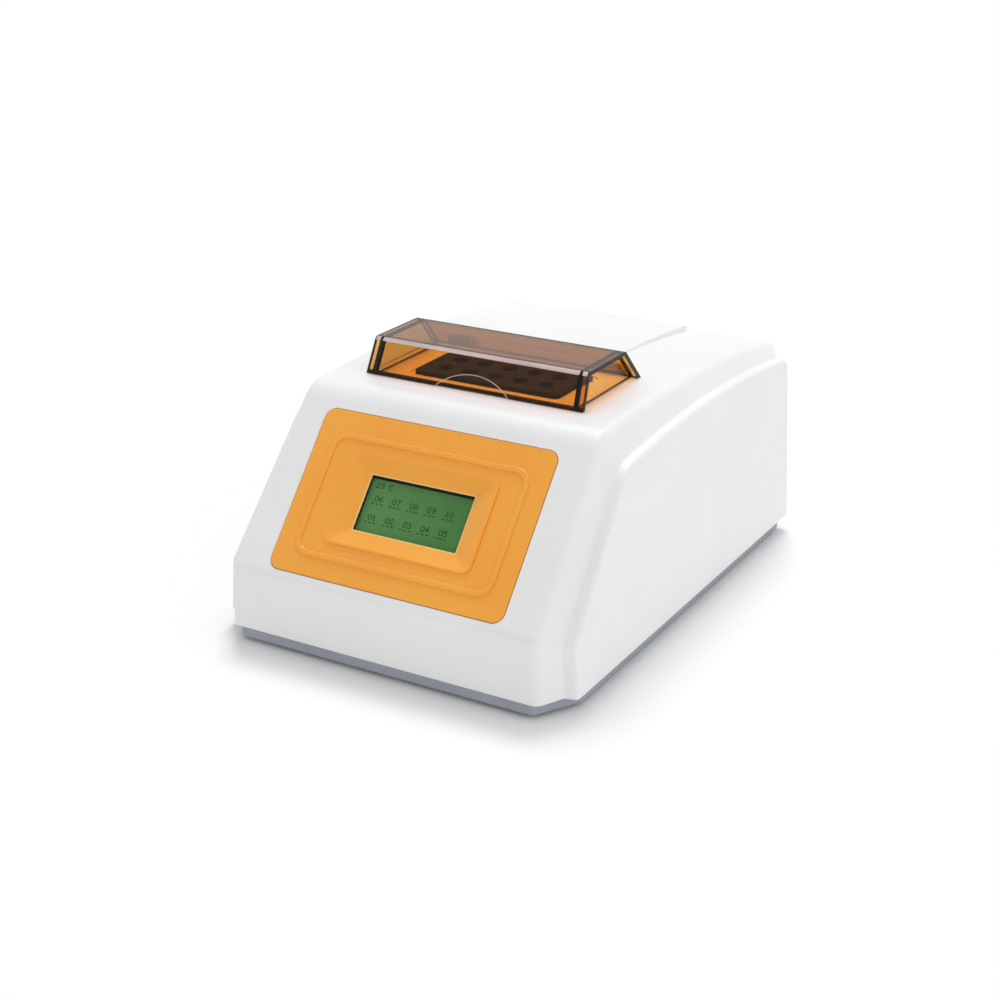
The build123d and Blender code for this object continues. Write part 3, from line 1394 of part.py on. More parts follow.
with BuildPart() as port_nuts:
    with BuildSketch(Plane.XZ.offset(-rear_plate_y - port_sheet)):
        with Locations((port_x, bay_z)):
            with GridLocations(port_nut_spacing, 1, 2, 1):
                RegularPolygon(port_nut_radius, 6)
                Circle(small_shank_radius, mode=Mode.SUBTRACT)
    extrude(amount=-port_nut_length)
    with BuildSketch(Plane.XZ.offset(-rear_plate_y + rear_sheet)):
        with Locations((port_x, bay_z)):
            with GridLocations(port_nut_spacing, 1, 2, 1):
                Circle(small_shank_radius)
    extrude(amount=-rear_sheet - port_sheet - port_nut_bite)
port_nuts.part.label = "port_nuts"
export_step(port_nuts.part, "parts/port_nuts.step")

# Controller board on spacers, with its components
main_board_z = floor_z + board_lift
main_board_top = main_board_z + board_thickness
with BuildPart() as main_board:
    with BuildSketch(Plane.XY.offset(main_board_z)):
        with Locations((main_board_x, electrics_y)):
            RectangleRounded(main_board_length, main_board_depth, board_corner)
        with Locations(*board_hole_places):
            Circle(shank_hole, mode=Mode.SUBTRACT)
    extrude(amount=board_thickness)
main_board.part.label = "main_board"
export_step(main_board.part, "parts/main_board.step")

with BuildPart() as board_spacers:
    with BuildSketch(Plane.XY.offset(floor_z)):
        with Locations(*board_hole_places):
            RegularPolygon(spacer_radius, 6)
            Circle(shank_hole, mode=Mode.SUBTRACT)
    extrude(amount=board_lift)
board_spacers.part.label = "board_spacers"
export_step(board_spacers.part, "parts/board_spacers.step")

with BuildPart() as board_screws:
    spots = [(x, y, main_board_top) for x, y in board_hole_places]
    screws(spots, *small_screw, board_thickness + board_lift + pan_floor - floor_tip_gap)
board_screws.part.label = "board_screws"
export_step(board_screws.part, "parts/board_screws.step")

header_y = electrics_y - main_board_depth / 2 + header_inset
motor_header_x = main_board_x - main_board_length / 2 + motor_header_inset
rear_header_y = electrics_y + main_board_depth / 2 - rear_header_inset
power_header_x = main_board_x - main_board_length / 2 + header_inset
power_header_y = electrics_y - rear_header_inset
switch_header_x = motor_header_x + rear_header_inset
with BuildPart() as board_parts:
    with Locations((ribbon_x, header_y, main_board_top)):
        Box(ribbon_header_length, header_depth, header_height, align=bottom)
    with Locations(
        (motor_header_x, header_y, main_board_top),
        (switch_header_x, rear_header_y, main_board_top),
        (port_x, rear_header_y, main_board_top),
    ):
        Box(header_length, header_depth, header_height, align=bottom)
    with Locations((power_header_x, power_header_y, main_board_top)):
        Box(header_depth, header_length, header_height, align=bottom)
    with Locations((chip_x, electrics_y, main_board_top)):
        Box(chip_side, chip_side, chip_height, align=bottom)
    with Locations(*four(small_chip_x, small_chip_y, main_board_top, chip_x, electrics_y)):
        Box(chip_side / 2, chip_side / 3, chip_height, align=bottom)
    with Locations((capacitor_x, capacitor_y, main_board_top)):
        with GridLocations(1, 3 * capacitor_radius, 1, 3):
            Cylinder(capacitor_radius, capacitor_height, align=bottom)
board_parts.part.label = "board_parts"
export_step(board_parts.part, "parts/board_parts.step")

# Flat cable from the controller to the display
ribbon_z = main_board_top + header_height / 2
ribbon_low = floor_z + ribbon_bend
plug_end = slope_plane(board_back - plug_height, window_middle + plug_s).origin
plug_turn = slope_plane(board_back - plug_height - 3 * ribbon_bend, window_middle + plug_s).origin
with BuildPart() as display_cable:
    with BuildSketch(Plane.YZ.offset(ribbon_x)):
        with BuildLine():
            start_y = header_y - header_depth / 2
            FilletPolyline(
                (start_y, ribbon_z),
                (start_y - 2 * ribbon_bend, ribbon_z),
                (start_y - 4 * ribbon_bend, ribbon_low),
                (plug_turn.Y + 2 * ribbon_bend, ribbon_low),
                (plug_turn.Y, ribbon_low + 2 * ribbon_bend),
                (plug_turn.Y, plug_turn.Z),
                (plug_end.Y, plug_end.Z),
                radius=ribbon_bend,
            )
        trace(line_width=ribbon_thickness)
    extrude(amount=ribbon_width / 2, both=True)
display_cable.part.label = "display_cable"
export_step(display_cable.part, "parts/display_cable.step")

# Power supply: a vented sheet case over its board
with BuildPart() as supply_case:
    with Locations((supply_x, electrics_y, floor_z)):
        Box(supply_length, supply_depth, supply_height, align=bottom)
        Box(
            supply_length - 2 * supply_sheet,
            supply_depth - 2 * supply_sheet,
            supply_height - supply_sheet,
            align=bottom,
            mode=Mode.SUBTRACT,
        )
    with Locations(*[(x, y, floor_z) for x, y in supply_screw_places]):
        Box(supply_tab, supply_tab, supply_sheet, align=bottom)
        Cylinder(shank_hole, supply_sheet, align=bottom, mode=Mode.SUBTRACT)
    with BuildSketch(Plane.XY.offset(floor_z + supply_height)):
        with Locations((supply_x, electrics_y)):
            with GridLocations(vent_pitch, 1, vent_count - 1, 1):
                SlotOverall(vent_length, vent_width, rotation=90)
    extrude(amount=-supply_sheet, mode=Mode.SUBTRACT)
supply_case.part.label = "supply_case"
export_step(supply_case.part, "parts/supply_case.step")

with BuildPart() as supply_screws:
    spots = [(x, y, floor_z + supply_sheet) for x, y in supply_screw_places]
    screws(spots, *small_screw, supply_sheet + pan_floor - floor_tip_gap)
supply_screws.part.label = "supply_screws"
export_step(supply_screws.part, "parts/supply_screws.step")

with BuildPart() as supply_board:
    board_x = supply_length - 4 * supply_sheet
    board_y = supply_depth - 4 * supply_sheet
    post_x = board_x / 2 - supply_foot_inset
    post_y = board_y / 2 - supply_foot_inset
    board_top = floor_z + board_lift + board_thickness
    with Locations(*four(post_x, post_y, floor_z, supply_x, electrics_y)):
        Cylinder(spacer_radius, board_lift, align=bottom)
    with Locations((supply_x, electrics_y, floor_z + board_lift)):
        Box(board_x, board_y, board_thickness, align=bottom)
    with Locations((supply_x, electrics_y, board_top)):
        Box(transformer_side, transformer_side, transformer_height, align=bottom)
    with Locations(*four(transformer_side, chip_side, board_top, supply_x, electrics_y)):
        Cylinder(capacitor_radius, supply_capacitor_height, align=bottom)
supply_board.part.label = "supply_board"
export_step(supply_board.part, "parts/supply_board.step")

# Leads between the boards, the motor, the switch and the port
switch_back_y = rear_plate_y - switch_body_depth
port_back_y = rear_plate_y - port_body_depth
header_top = main_board_top + header_height
routes = [
    [
        (0, motor_y + motor_side / 2, motor_z + motor_height / 3),
        (0, motor_y + motor_side / 2 + lead_exit, motor_z + motor_height / 3),
        (motor_header_x, header_y - header_depth / 2 - lead_exit, ribbon_z),
        (motor_header_x, header_y - header_depth / 2, ribbon_z),
    ],
    [
        (supply_x + supply_length / 2, power_header_y, ribbon_z),
        (power_header_x - header_depth / 2, power_header_y, ribbon_z),
    ],
    [
        (switch_x, switch_back_y, bay_z),
        (switch_x, rear_header_y + 2 * header_depth, bay_z),
        (switch_header_x, rear_header_y, bay_z - header_depth),
        (switch_header_x, rear_header_y, header_top),
    ],
    [
        (port_x, port_back_y, bay_z),
        (port_x, rear_header_y + 2 * header_depth, bay_z),
        (port_x, rear_header_y, bay_z - header_depth),
        (port_x, rear_header_y, header_top),
    ],
]
with BuildPart() as inner_leads:
    for route in routes:
        with BuildLine() as path:
            if len(route) > 2:
                FilletPolyline(*route, radius=lead_bend)
            else:
                Line(*route)
        with BuildSketch(Plane(origin=path.line @ 0, z_dir=path.line % 0)):
            Circle(lead_radius)
        sweep(path=path.line)
inner_leads.part.label = "inner_leads"
export_step(inner_leads.part, "parts/inner_leads.step")
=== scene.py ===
# %% [markdown]
# An erythrocyte sedimentation rate analyzer is a bench instrument. Tubes of blood stand in its plate
# under a see-through lid, and a carriage inside reads how far the red cells have sunk. The shapes come
# from a imported CAD model, so this lesson is about its finishes: what each surface is made of, how it
# was made, and what that gives the eye. First the model is loaded, with a helper that gives the box of
# any of its parts.

# %% Load the imported model
import math

import bmesh
import bpy
from mathutils import Matrix, Vector


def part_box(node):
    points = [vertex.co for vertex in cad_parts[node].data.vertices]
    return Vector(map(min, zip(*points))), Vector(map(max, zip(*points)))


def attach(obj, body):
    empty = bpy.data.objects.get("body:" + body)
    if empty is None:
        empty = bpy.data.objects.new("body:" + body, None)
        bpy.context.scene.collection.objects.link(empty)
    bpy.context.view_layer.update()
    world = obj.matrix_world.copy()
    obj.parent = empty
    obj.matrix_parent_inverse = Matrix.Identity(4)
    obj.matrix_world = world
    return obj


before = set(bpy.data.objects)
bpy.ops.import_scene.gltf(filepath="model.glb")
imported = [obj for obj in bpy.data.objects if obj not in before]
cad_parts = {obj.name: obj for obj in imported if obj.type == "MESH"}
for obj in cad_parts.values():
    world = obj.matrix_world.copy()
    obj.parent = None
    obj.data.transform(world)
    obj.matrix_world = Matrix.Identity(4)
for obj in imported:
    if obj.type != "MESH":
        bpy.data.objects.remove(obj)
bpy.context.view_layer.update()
MM = 0.001

# %% [markdown]
# Colours are written as a paint chart gives them, in sRGB hex. Blender's shaders want linear light, so
# one function turns a hex value to linear.


# %% Colour helper
def linear(hex_colour):
    """A linear RGBA colour from an sRGB hex value such as '#FFA533'."""
    parts = [int(hex_colour[i : i + 2], 16) / 255 for i in (1, 3, 5)]
    low = [c / 12.92 if c <= 0.04045 else ((c + 0.055) / 1.055) ** 2.4 for c in parts]
    return (*low, 1.0)


print("mid grey in linear light:", round(linear("#808080")[0], 3))

# %% [markdown]
# A material is a small graph of nodes. One helper adds a node with its settings and links: a number or
# colour is written on the input, a node or one of its outputs is linked to it. Every graph here starts
# from the coordinates of the part in metres, so a pattern keeps its real size and moves with the part.


# %% Node helper
def put(tree, kind, inputs=None, **settings):
    """Adds a shader node: inputs are values, nodes or outputs, settings are the node's own choices."""
    made = tree.nodes.new("ShaderNode" + kind)
    for name, value in settings.items():
        setattr(made, name, value)
    for name, value in (inputs or {}).items():
        if isinstance(value, bpy.types.Node):
            value = value.outputs[0]
        if isinstance(value, bpy.types.NodeSocket):
            tree.links.new(value, made.inputs[name])
        else:
            made.inputs[name].default_value = value
    return made


def start_material(name):
    """A new material without nodes but the coordinates of the part; gives it, its tree and the place."""
    material = bpy.data.materials.new(name)
    material.use_nodes = True
    tree = material.node_tree
    tree.nodes.clear()
    return material, tree, put(tree, "TexCoord").outputs["Object"]


def two_tone(tree, pattern, low_hex, high_hex, low=0.35, high=0.65):
    """A colour that goes from one hex value to another as a pattern rises from low to high."""
    share = put(tree, "MapRange", {"Value": pattern, "From Min": low, "From Max": high})
    ends = {0: share, 6: linear(low_hex), 7: linear(high_hex)}
    return put(tree, "Mix", ends, data_type="RGBA").outputs[2]


print("helpers ready")

# %% [markdown]
# Most of the outside is injection-moulded ABS. The steel mould is spark-eroded, which leaves a very fine
# pitted grain on the plastic: it breaks reflections up into a satin sheen. The real grain is about
# 0.1 mm and can't show from a metre away, so it is drawn at 0.5 mm with a shallow depth. A second, much
# wider noise varies the roughness and colour by a hair, as thick mouldings do where they cooled slower.


# %% Moulded plastics
def moulded_plastic(name, low_hex, high_hex, roughness=0.42, grain_mm=0.5, depth_mm=0.012, ior=1.54):
    """Injection-moulded plastic with a spark-eroded grain."""
    material, tree, place = start_material(name)
    cloud = put(tree, "TexNoise", {"Vector": place, "Scale": 1 / (60 * MM), "Detail": 3.0})
    satin = {"Value": cloud, "To Min": roughness - 0.05, "To Max": roughness + 0.05}
    pits = put(tree, "TexNoise", {"Vector": place, "Scale": 1 / (grain_mm * MM), "Detail": 2.0})
    look = {"Base Color": two_tone(tree, cloud, low_hex, high_hex), "IOR": ior}
    look["Roughness"] = put(tree, "MapRange", satin)
    look["Normal"] = put(tree, "Bump", {"Height": pits, "Strength": 0.5, "Distance": depth_mm * MM})
    put(tree, "OutputMaterial", {"Surface": put(tree, "BsdfPrincipled", look)})
    return material


white_abs = moulded_plastic("white_abs_spark_eroded", "#F3F3F4", "#F6F6F6")
blue_grey_abs = moulded_plastic("blue_grey_abs_spark_eroded", "#9DA2AC", "#A4A9B2", roughness=0.5)
orange_abs = moulded_plastic("orange_abs_satin", "#FEA82C", "#FFAF32", roughness=0.23, depth_mm=0.006)
white_nylon = moulded_plastic("white_nylon_moulded", "#E4E4E0", "#EAEAE6", roughness=0.5)
black_nylon = moulded_plastic("black_nylon_moulded", "#161617", "#1D1D1E", roughness=0.45)
natural_nylon = moulded_plastic("natural_nylon_turned", "#DAD6C6", "#E4E0D2", roughness=0.5)
black_acetal = moulded_plastic("black_acetal_machined", "#131314", "#19191B", roughness=0.36)
white_ink = moulded_plastic("white_pad_printed_ink", "#E2E2E2", "#EAEAEA", roughness=0.5)
print("moulded plastics:", len(bpy.data.materials))

# %% [markdown]
# The orange panel dips to its window like a shallow funnel. Its thin edge round the window catches the
# light as a pale line, and that highlight is painted: a paler orange half a millimetre wide is mixed into
# the panel's colour, at that distance from the window's own rectangle on the slope.

# %% Painted highlight on the edge of the panel's window
SLOPE = math.radians(49.5)
WINDOW_HALF_LENGTH, WINDOW_HALF_HEIGHT = 36.0 * MM, 17.9 * MM
HIGHLIGHT_WIDTH = 0.5 * MM
HIGHLIGHT_ORANGE = "#FFDC8C"
up_slope = Vector((0, math.cos(SLOPE), math.sin(SLOPE)))
cell_low, cell_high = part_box("display_glass")
window_s = up_slope.dot((cell_low + cell_high) / 2)
tree = orange_abs.node_tree
place = put(tree, "TexCoord").outputs["Object"]
across = put(tree, "Math", {0: put(tree, "SeparateXYZ", {"Vector": place})}, operation="ABSOLUTE")
along = put(tree, "VectorMath", {0: place, 1: up_slope}, operation="DOT_PRODUCT").outputs["Value"]
along = put(tree, "Math", {0: along, 1: window_s}, operation="SUBTRACT")
along = put(tree, "Math", {0: along}, operation="ABSOLUTE")
beside = put(tree, "Math", {0: across, 1: WINDOW_HALF_LENGTH}, operation="SUBTRACT")
above = put(tree, "Math", {0: along, 1: WINDOW_HALF_HEIGHT}, operation="SUBTRACT")
away = put(tree, "Math", {0: beside, 1: above}, operation="MAXIMUM")
# The paler line round the window is a painted highlight.
painted_edge_highlight = put(tree, "Math", {0: away, 1: 0.0, 2: HIGHLIGHT_WIDTH}, operation="COMPARE")
skin = next(node for node in tree.nodes if node.type == "BSDF_PRINCIPLED").inputs["Base Color"]
edged = {0: painted_edge_highlight, 6: skin.links[0].from_socket, 7: linear(HIGHLIGHT_ORANGE)}
tree.links.new(put(tree, "Mix", edged, data_type="RGBA").outputs[2], skin)
print("window centre is", round(window_s / MM, 2), "mm up the slope")

# %% [markdown]
# The lid is cast acrylic sheet, tinted amber through its whole thickness, bent over a hot wire and glued.
# Its colour is not on the surface but in the depth, so the tint is a volume that absorbs blue most and
# red least. A sawn edge, a rim or a bend, where light runs along the sheet, looks nearly black: that
# near-black is painted shade, mixed into the colour. A glued joint gets the same near-black, partly the
# glue line's own dark and partly painted shade. The flat top, seen at a low angle, looks smoky, and the
# end walls a deeper amber: these tints are a painted reflection and painted shade. Masks that follow the
# lid's own shape draw these.

# %% Places on the lid
LID_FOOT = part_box("lid")[0].z
LID_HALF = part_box("lid")[1].x
EDGE_BAND, END_EDGE_BAND = 1.7 * MM, 0.55 * MM
RIM_BAND = 0.7 * MM
JOINT_INSET, JOINT_HALF = 4.9 * MM, 0.95 * MM
END_LEAN = 1.4 / 21.7
TOP_FRONT, TOP_BACK = -52.7 * MM, -9.6 * MM
BEND_HALF = 0.6 * MM
print("lid foot at", round(LID_FOOT / MM, 1), "mm, half length", round(LID_HALF / MM, 1), "mm")

# %% [markdown]
# Each mask is one or two sums on the coordinates: a distance from an edge, compared with a width. The
# ends lean inwards, so the distance from an end is taken off the half length at that height. The way a
# face looks, its normal, tells the flat top, the end walls and the front bend from the other walls.

# %% Masks of the lid
FLAT_FACING, UPWARD_FACING = 0.97, 0.6
BEND_FACING, BEND_FACING_HALF = 0.69, 0.27
amber, tree, place = start_material("amber_cast_acrylic")
spot = put(tree, "SeparateXYZ", {"Vector": place}).outputs
facing = put(tree, "SeparateXYZ", {"Vector": put(tree, "TexCoord").outputs["Normal"]}).outputs
rise = put(tree, "Math", {0: spot["Z"], 1: LID_FOOT}, operation="SUBTRACT")
half_here = put(tree, "Math", {0: rise, 1: -END_LEAN, 2: LID_HALF}, operation="MULTIPLY_ADD")
across = put(tree, "Math", {0: spot["X"]}, operation="ABSOLUTE")
inward = put(tree, "Math", {0: half_here, 1: across}, operation="SUBTRACT")
sideways = put(tree, "Math", {0: facing["X"], 1: 0.0, 2: 0.5}, operation="COMPARE")
flat_top = put(tree, "Math", {0: facing["Z"], 1: FLAT_FACING}, operation="GREATER_THAN")
foot_band = {"Value": sideways, "To Min": END_EDGE_BAND, "To Max": EDGE_BAND}
foot_edge = put(tree, "Math", {0: rise, 1: put(tree, "MapRange", foot_band)}, operation="LESS_THAN")
rim = put(tree, "Math", {0: inward, 1: RIM_BAND}, operation="LESS_THAN")
joint = put(tree, "Math", {0: inward, 1: JOINT_INSET, 2: JOINT_HALF}, operation="COMPARE")
joint = put(tree, "Math", {0: joint, 1: sideways}, operation="MULTIPLY")
front_bend = put(tree, "Math", {0: spot["Y"], 1: TOP_FRONT, 2: BEND_HALF}, operation="COMPARE")
back_bend = put(tree, "Math", {0: spot["Y"], 1: TOP_BACK, 2: BEND_HALF}, operation="COMPARE")
bend = put(tree, "Math", {0: front_bend, 1: back_bend}, operation="MAXIMUM")
upward = put(tree, "Math", {0: facing["Z"], 1: UPWARD_FACING}, operation="GREATER_THAN")
bend = put(tree, "Math", {0: bend, 1: upward}, operation="MULTIPLY")
on_bend = {0: facing["Z"], 1: BEND_FACING, 2: BEND_FACING_HALF}
on_bend = put(tree, "Math", on_bend, operation="COMPARE")
in_front = put(tree, "Math", {0: spot["Y"], 1: TOP_FRONT}, operation="LESS_THAN")
on_bend = put(tree, "Math", {0: on_bend, 1: in_front}, operation="MULTIPLY")
# Near-black on the foot edge, rims and bends is painted shade; on the glued joints it is partly the glue
# line's own dark and partly painted shade.
joints_and_painted_edge_shade = put(tree, "Math", {0: foot_edge, 1: rim}, operation="MAXIMUM")
joints_and_painted_edge_shade = put(tree, "Math", {0: joints_and_painted_edge_shade, 1: joint}, operation="MAXIMUM")
joints_and_painted_edge_shade = put(tree, "Math", {0: joints_and_painted_edge_shade, 1: bend}, operation="MAXIMUM")
print("lid masks made with", len(tree.nodes), "nodes")

# %% [markdown]
# The depth colour says how much light is left after 1 / 530 m, about 1.9 mm, of sheet. Cast acrylic has
# an IOR of 1.49, but an all-white tent mirrored in it lays a grey veil over the tint, so 1.28 is matched
# to the object. A weak tint on the end walls and the top is painted shade and a painted reflection, for
# the smoke that a sheet shows at a low angle. A pale band on the front bend is a painted highlight. Real
# glass would leave the space under it dark in a path tracer, so rays from a lamp meet a Transparent
# shader instead.

# %% Bent acrylic lid
LID_IOR, ACRYLIC_IOR = 1.28, 1.49
DEPTH_TINT, TINT_DENSITY = (0.9, 0.75, 0.46, 1.0), 530.0
HIGHLIGHT_SHARE = 0.75
# The end walls' amber and the top's grey are painted shade and a painted reflection, for a sheet seen at
# a low angle.
painted_veil_and_shade = put(tree, "Mix", {0: sideways, 6: linear("#FFFFFF"), 7: linear("#EBC98A")}, data_type="RGBA")
painted_veil_and_shade = {0: flat_top, 6: painted_veil_and_shade.outputs[2], 7: linear("#B5A088")}
painted_veil_and_shade = put(tree, "Mix", painted_veil_and_shade, data_type="RGBA")
tint = {0: joints_and_painted_edge_shade, 6: painted_veil_and_shade.outputs[2], 7: linear("#0C0807")}
tint = put(tree, "Mix", tint, data_type="RGBA").outputs[2]
look = {"Base Color": tint, "Roughness": 0.04, "IOR": LID_IOR, "Transmission Weight": 1.0}
glassy = put(tree, "BsdfPrincipled", look)
# The pale band on the front bend is a painted highlight: a pale, rougher shader mixed over the glass.
streaks = put(tree, "Mapping", {"Vector": place, "Scale": (1.0, 6.0, 6.0)})
streaks = put(tree, "TexNoise", {"Vector": streaks, "Scale": 1 / (40 * MM), "Detail": 3.0})
look = {"Base Color": two_tone(tree, streaks, "#CFC4CC", "#F0E6E2"), "Roughness": 0.35}
painted_highlight = put(tree, "BsdfPrincipled", look | {"IOR": ACRYLIC_IOR})
highlight_share = put(tree, "Math", {0: on_bend, 1: joints_and_painted_edge_shade}, operation="SUBTRACT")
highlight_share = put(tree, "Math", {0: highlight_share, 1: HIGHLIGHT_SHARE}, operation="MULTIPLY", use_clamp=True)
glassy = put(tree, "MixShader", {0: highlight_share, 1: glassy, 2: painted_highlight})
lamp_ray = put(tree, "LightPath").outputs["Is Shadow Ray"]
open_way = put(tree, "BsdfTransparent", {"Color": linear("#F6E4CE")})
depth = put(tree, "VolumeAbsorption", {"Color": DEPTH_TINT, "Density": TINT_DENSITY})
surface = put(tree, "MixShader", {0: lamp_ray, 1: glassy, 2: open_way})
put(tree, "OutputMaterial", {"Surface": surface, "Volume": depth})
print("lid material has", len(tree.nodes), "nodes")

# %% [markdown]
# The display's pane is clear polycarbonate with a hard coat against glare. It mirrors very little and the
# figures behind it stay crisp, so it is drawn nearly clear, with a low alpha. The liquid crystal cell is
# yellow-green, and its brightening towards the side where its lamp sits is painted light. It is near
# black outside its field, partly its own black mask and partly painted shade under the panel's sill. The
# dots are crystal that blocks the light: nearly black and dull. The light guide is milky acrylic.

# %% Display materials
PANE_ALPHA = 0.05
pane, tree, place = start_material("clear_polycarbonate_hard_coat")
haze = put(tree, "TexNoise", {"Vector": place, "Scale": 1 / (8 * MM)})
haze = put(tree, "MapRange", {"Value": haze, "To Min": 0.04, "To Max": 0.1})
look = {"Base Color": linear("#6E7A6C"), "Roughness": haze, "IOR": 1.58, "Alpha": PANE_ALPHA}
put(tree, "OutputMaterial", {"Surface": put(tree, "BsdfPrincipled", look)})

cell, tree, place = start_material("yellow_green_liquid_crystal")
CELL_HALF_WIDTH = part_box("display_glass")[1].x
VIEW_HALF_WIDTH = 36.5 * MM
VIEW_TOP, VIEW_BOTTOM = 18.0 * MM * math.sin(SLOPE), -18.2 * MM * math.sin(SLOPE)
VIEW_HALF_HEIGHT = (VIEW_TOP - VIEW_BOTTOM) / 2
VIEW_MIDDLE = (cell_low.z + cell_high.z + VIEW_TOP + VIEW_BOTTOM) / 2
across = put(tree, "SeparateXYZ", {"Vector": place}).outputs["X"]
# Brighter towards the lamp's side: painted light in the base colour.
painted_glow_share = {"Value": across, "From Min": CELL_HALF_WIDTH, "From Max": -CELL_HALF_WIDTH}
painted_glow_share = put(tree, "MapRange", painted_glow_share)
cloud = put(tree, "TexNoise", {"Vector": place, "Scale": 1 / (14 * MM)})
cloud_and_painted_glow = put(tree, "Math", {0: cloud, 1: 0.3, 2: painted_glow_share}, operation="MULTIPLY_ADD")
height = put(tree, "SeparateXYZ", {"Vector": place}).outputs["Z"]
# Outside this field the cell is near black: partly its own black mask, partly painted shade under the
# sill.
clear_of_mask_and_shade = put(tree, "Math", {0: across, 1: 0.0, 2: VIEW_HALF_WIDTH}, operation="COMPARE")
in_height = put(tree, "Math", {0: height, 1: VIEW_MIDDLE, 2: VIEW_HALF_HEIGHT}, operation="COMPARE")
clear_of_mask_and_shade = put(tree, "Math", {0: clear_of_mask_and_shade, 1: in_height}, operation="MULTIPLY")
green = two_tone(tree, cloud_and_painted_glow, "#4F8A45", "#64A05C", 0.1, 1.2)
face = {0: clear_of_mask_and_shade, 6: linear("#0D1A0B"), 7: green}
look = {"Base Color": put(tree, "Mix", face, data_type="RGBA").outputs[2], "Roughness": 0.5}
look |= {"IOR": 1.5, "Specular IOR Level": 0.05}
put(tree, "OutputMaterial", {"Surface": put(tree, "BsdfPrincipled", look)})

dot_ink, tree, place = start_material("dark_liquid_crystal_dots")
cloud = put(tree, "TexNoise", {"Vector": place, "Scale": 1 / (3 * MM)})
look = {"Base Color": two_tone(tree, cloud, "#040F03", "#0A1C08"), "Roughness": 0.6}
look |= {"IOR": 1.5, "Specular IOR Level": 0.02}
put(tree, "OutputMaterial", {"Surface": put(tree, "BsdfPrincipled", look)})
milky = moulded_plastic("milky_acrylic_light_guide", "#D9E3C4", "#E4ECD2", roughness=0.25, ior=1.49)
print("display materials ready")

# %% [markdown]
# Metals keep Blender's default IOR, because their colour comes from the base colour. What tells one from
# another is its colour and how it was worked: turning leaves rings, grinding fine lines along the part,
# and zinc plating a cloudy sheen. The marks are noise, stretched along the way the metal was worked.
# Black anodising is a dyed skin of oxide that hides the metal, so it is drawn dull and not metallic.


# %% Metals
def worked_metal(name, low_hex, high_hex, roughness, mark_mm, stretch=(1, 1, 1), **skin):
    """A metal with working marks; skin may say depth_mm, bare (how metallic it looks) and shine."""
    skin = {"depth_mm": 0.004, "bare": 1.0, "shine": 0.5} | skin
    material, tree, place = start_material(name)
    along = put(tree, "Mapping", {"Vector": place, "Scale": stretch})
    marks = put(tree, "TexNoise", {"Vector": along, "Scale": 1 / (mark_mm * MM), "Detail": 4.0})
    rough = {"Value": marks, "To Min": roughness - 0.07, "To Max": roughness + 0.07}
    relief = {"Height": marks, "Strength": 0.4, "Distance": skin["depth_mm"] * MM}
    look = {"Base Color": two_tone(tree, marks, low_hex, high_hex), "Metallic": skin["bare"]}
    look["Specular IOR Level"] = skin["shine"]
    look["Roughness"] = put(tree, "MapRange", rough)
    look["Normal"] = put(tree, "Bump", relief)
    put(tree, "OutputMaterial", {"Surface": put(tree, "BsdfPrincipled", look)})
    return material


zinc_screw = worked_metal("zinc_plated_screw_steel", "#B4B7BB", "#C8CACE", 0.32, 2.0)
ground_steel = worked_metal("ground_stainless_steel", "#B9BBBE", "#CCCED0", 0.2, 1.2, (1, 1, 0.1))
nickel_sheet = worked_metal("nickel_plated_steel", "#B7B3AB", "#CBC7BF", 0.26, 4.0)
milled_aluminium = worked_metal("milled_aluminium", "#C2C4C7", "#D3D5D7", 0.34, 1.5, (1, 0.15, 1))
sintered_bronze = worked_metal("sintered_bronze", "#8C6536", "#AE8248", 0.5, 0.8, depth_mm=0.02)
tinned_brass = worked_metal("tinned_brass", "#C3C3C1", "#D2D2D0", 0.24, 2.0, (1, 0.2, 1))
anodised = {"bare": 0.0, "shine": 0.06}
black_plate = worked_metal("black_anodised_aluminium", "#0D0C0B", "#141211", 0.5, 0.7, **anodised)
print("metals:", sum("steel" in m.name or "minium" in m.name for m in bpy.data.materials))

# %% [markdown]
# Sheet steel dipped in molten zinc shows spangle: grey crystals some 7 mm wide, each with its own shine.
# Voronoi cells are just such crystals. The lead screw's thread is rolled; its colour is lighter on the
# ridges and darker in the root. Its ridges stand 2 mm apart, and with four starts one turn moves the nut
# 8 mm. The slant of such a thread is small, so it is drawn as rings.

# %% Zinc sheet and lead screw
spangled_steel, tree, place = start_material("hot_dipped_zinc_sheet")
crystals = put(tree, "TexVoronoi", {"Vector": place, "Scale": 1 / (7 * MM)})
shade = put(tree, "SeparateXYZ", {"Vector": crystals.outputs["Color"]}).outputs["X"]
rough = put(tree, "MapRange", {"Value": shade, "To Min": 0.32, "To Max": 0.5})
look = {"Base Color": two_tone(tree, shade, "#9FA4A8", "#BFC3C6", 0.0, 1.0), "Roughness": rough}
put(tree, "OutputMaterial", {"Surface": put(tree, "BsdfPrincipled", look | {"Metallic": 1.0})})

THREAD_PITCH = 2.0 * MM
WAVE_UNIT = 2 * math.pi / 20
screw_steel, tree, place = start_material("rolled_lead_screw_steel")
thread = {"Vector": place, "Scale": WAVE_UNIT / THREAD_PITCH}
thread = put(tree, "TexWave", thread, bands_direction="Z").outputs["Fac"]
look = {"Base Color": two_tone(tree, thread, "#83868A", "#C4C6C9"), "Metallic": 1.0, "Roughness": 0.28}
look["Normal"] = put(tree, "Bump", {"Height": thread, "Strength": 1.0, "Distance": 0.3 * MM})
put(tree, "OutputMaterial", {"Surface": put(tree, "BsdfPrincipled", look)})
print("thread pitch", THREAD_PITCH / MM, "mm")

# %% [markdown]
# Rubber feet are black and matt, with a chalky bloom in places. The flat cable's sheath is soft vinyl:
# it shows a groove between neighbouring cores every 1.27 mm and a red first core.

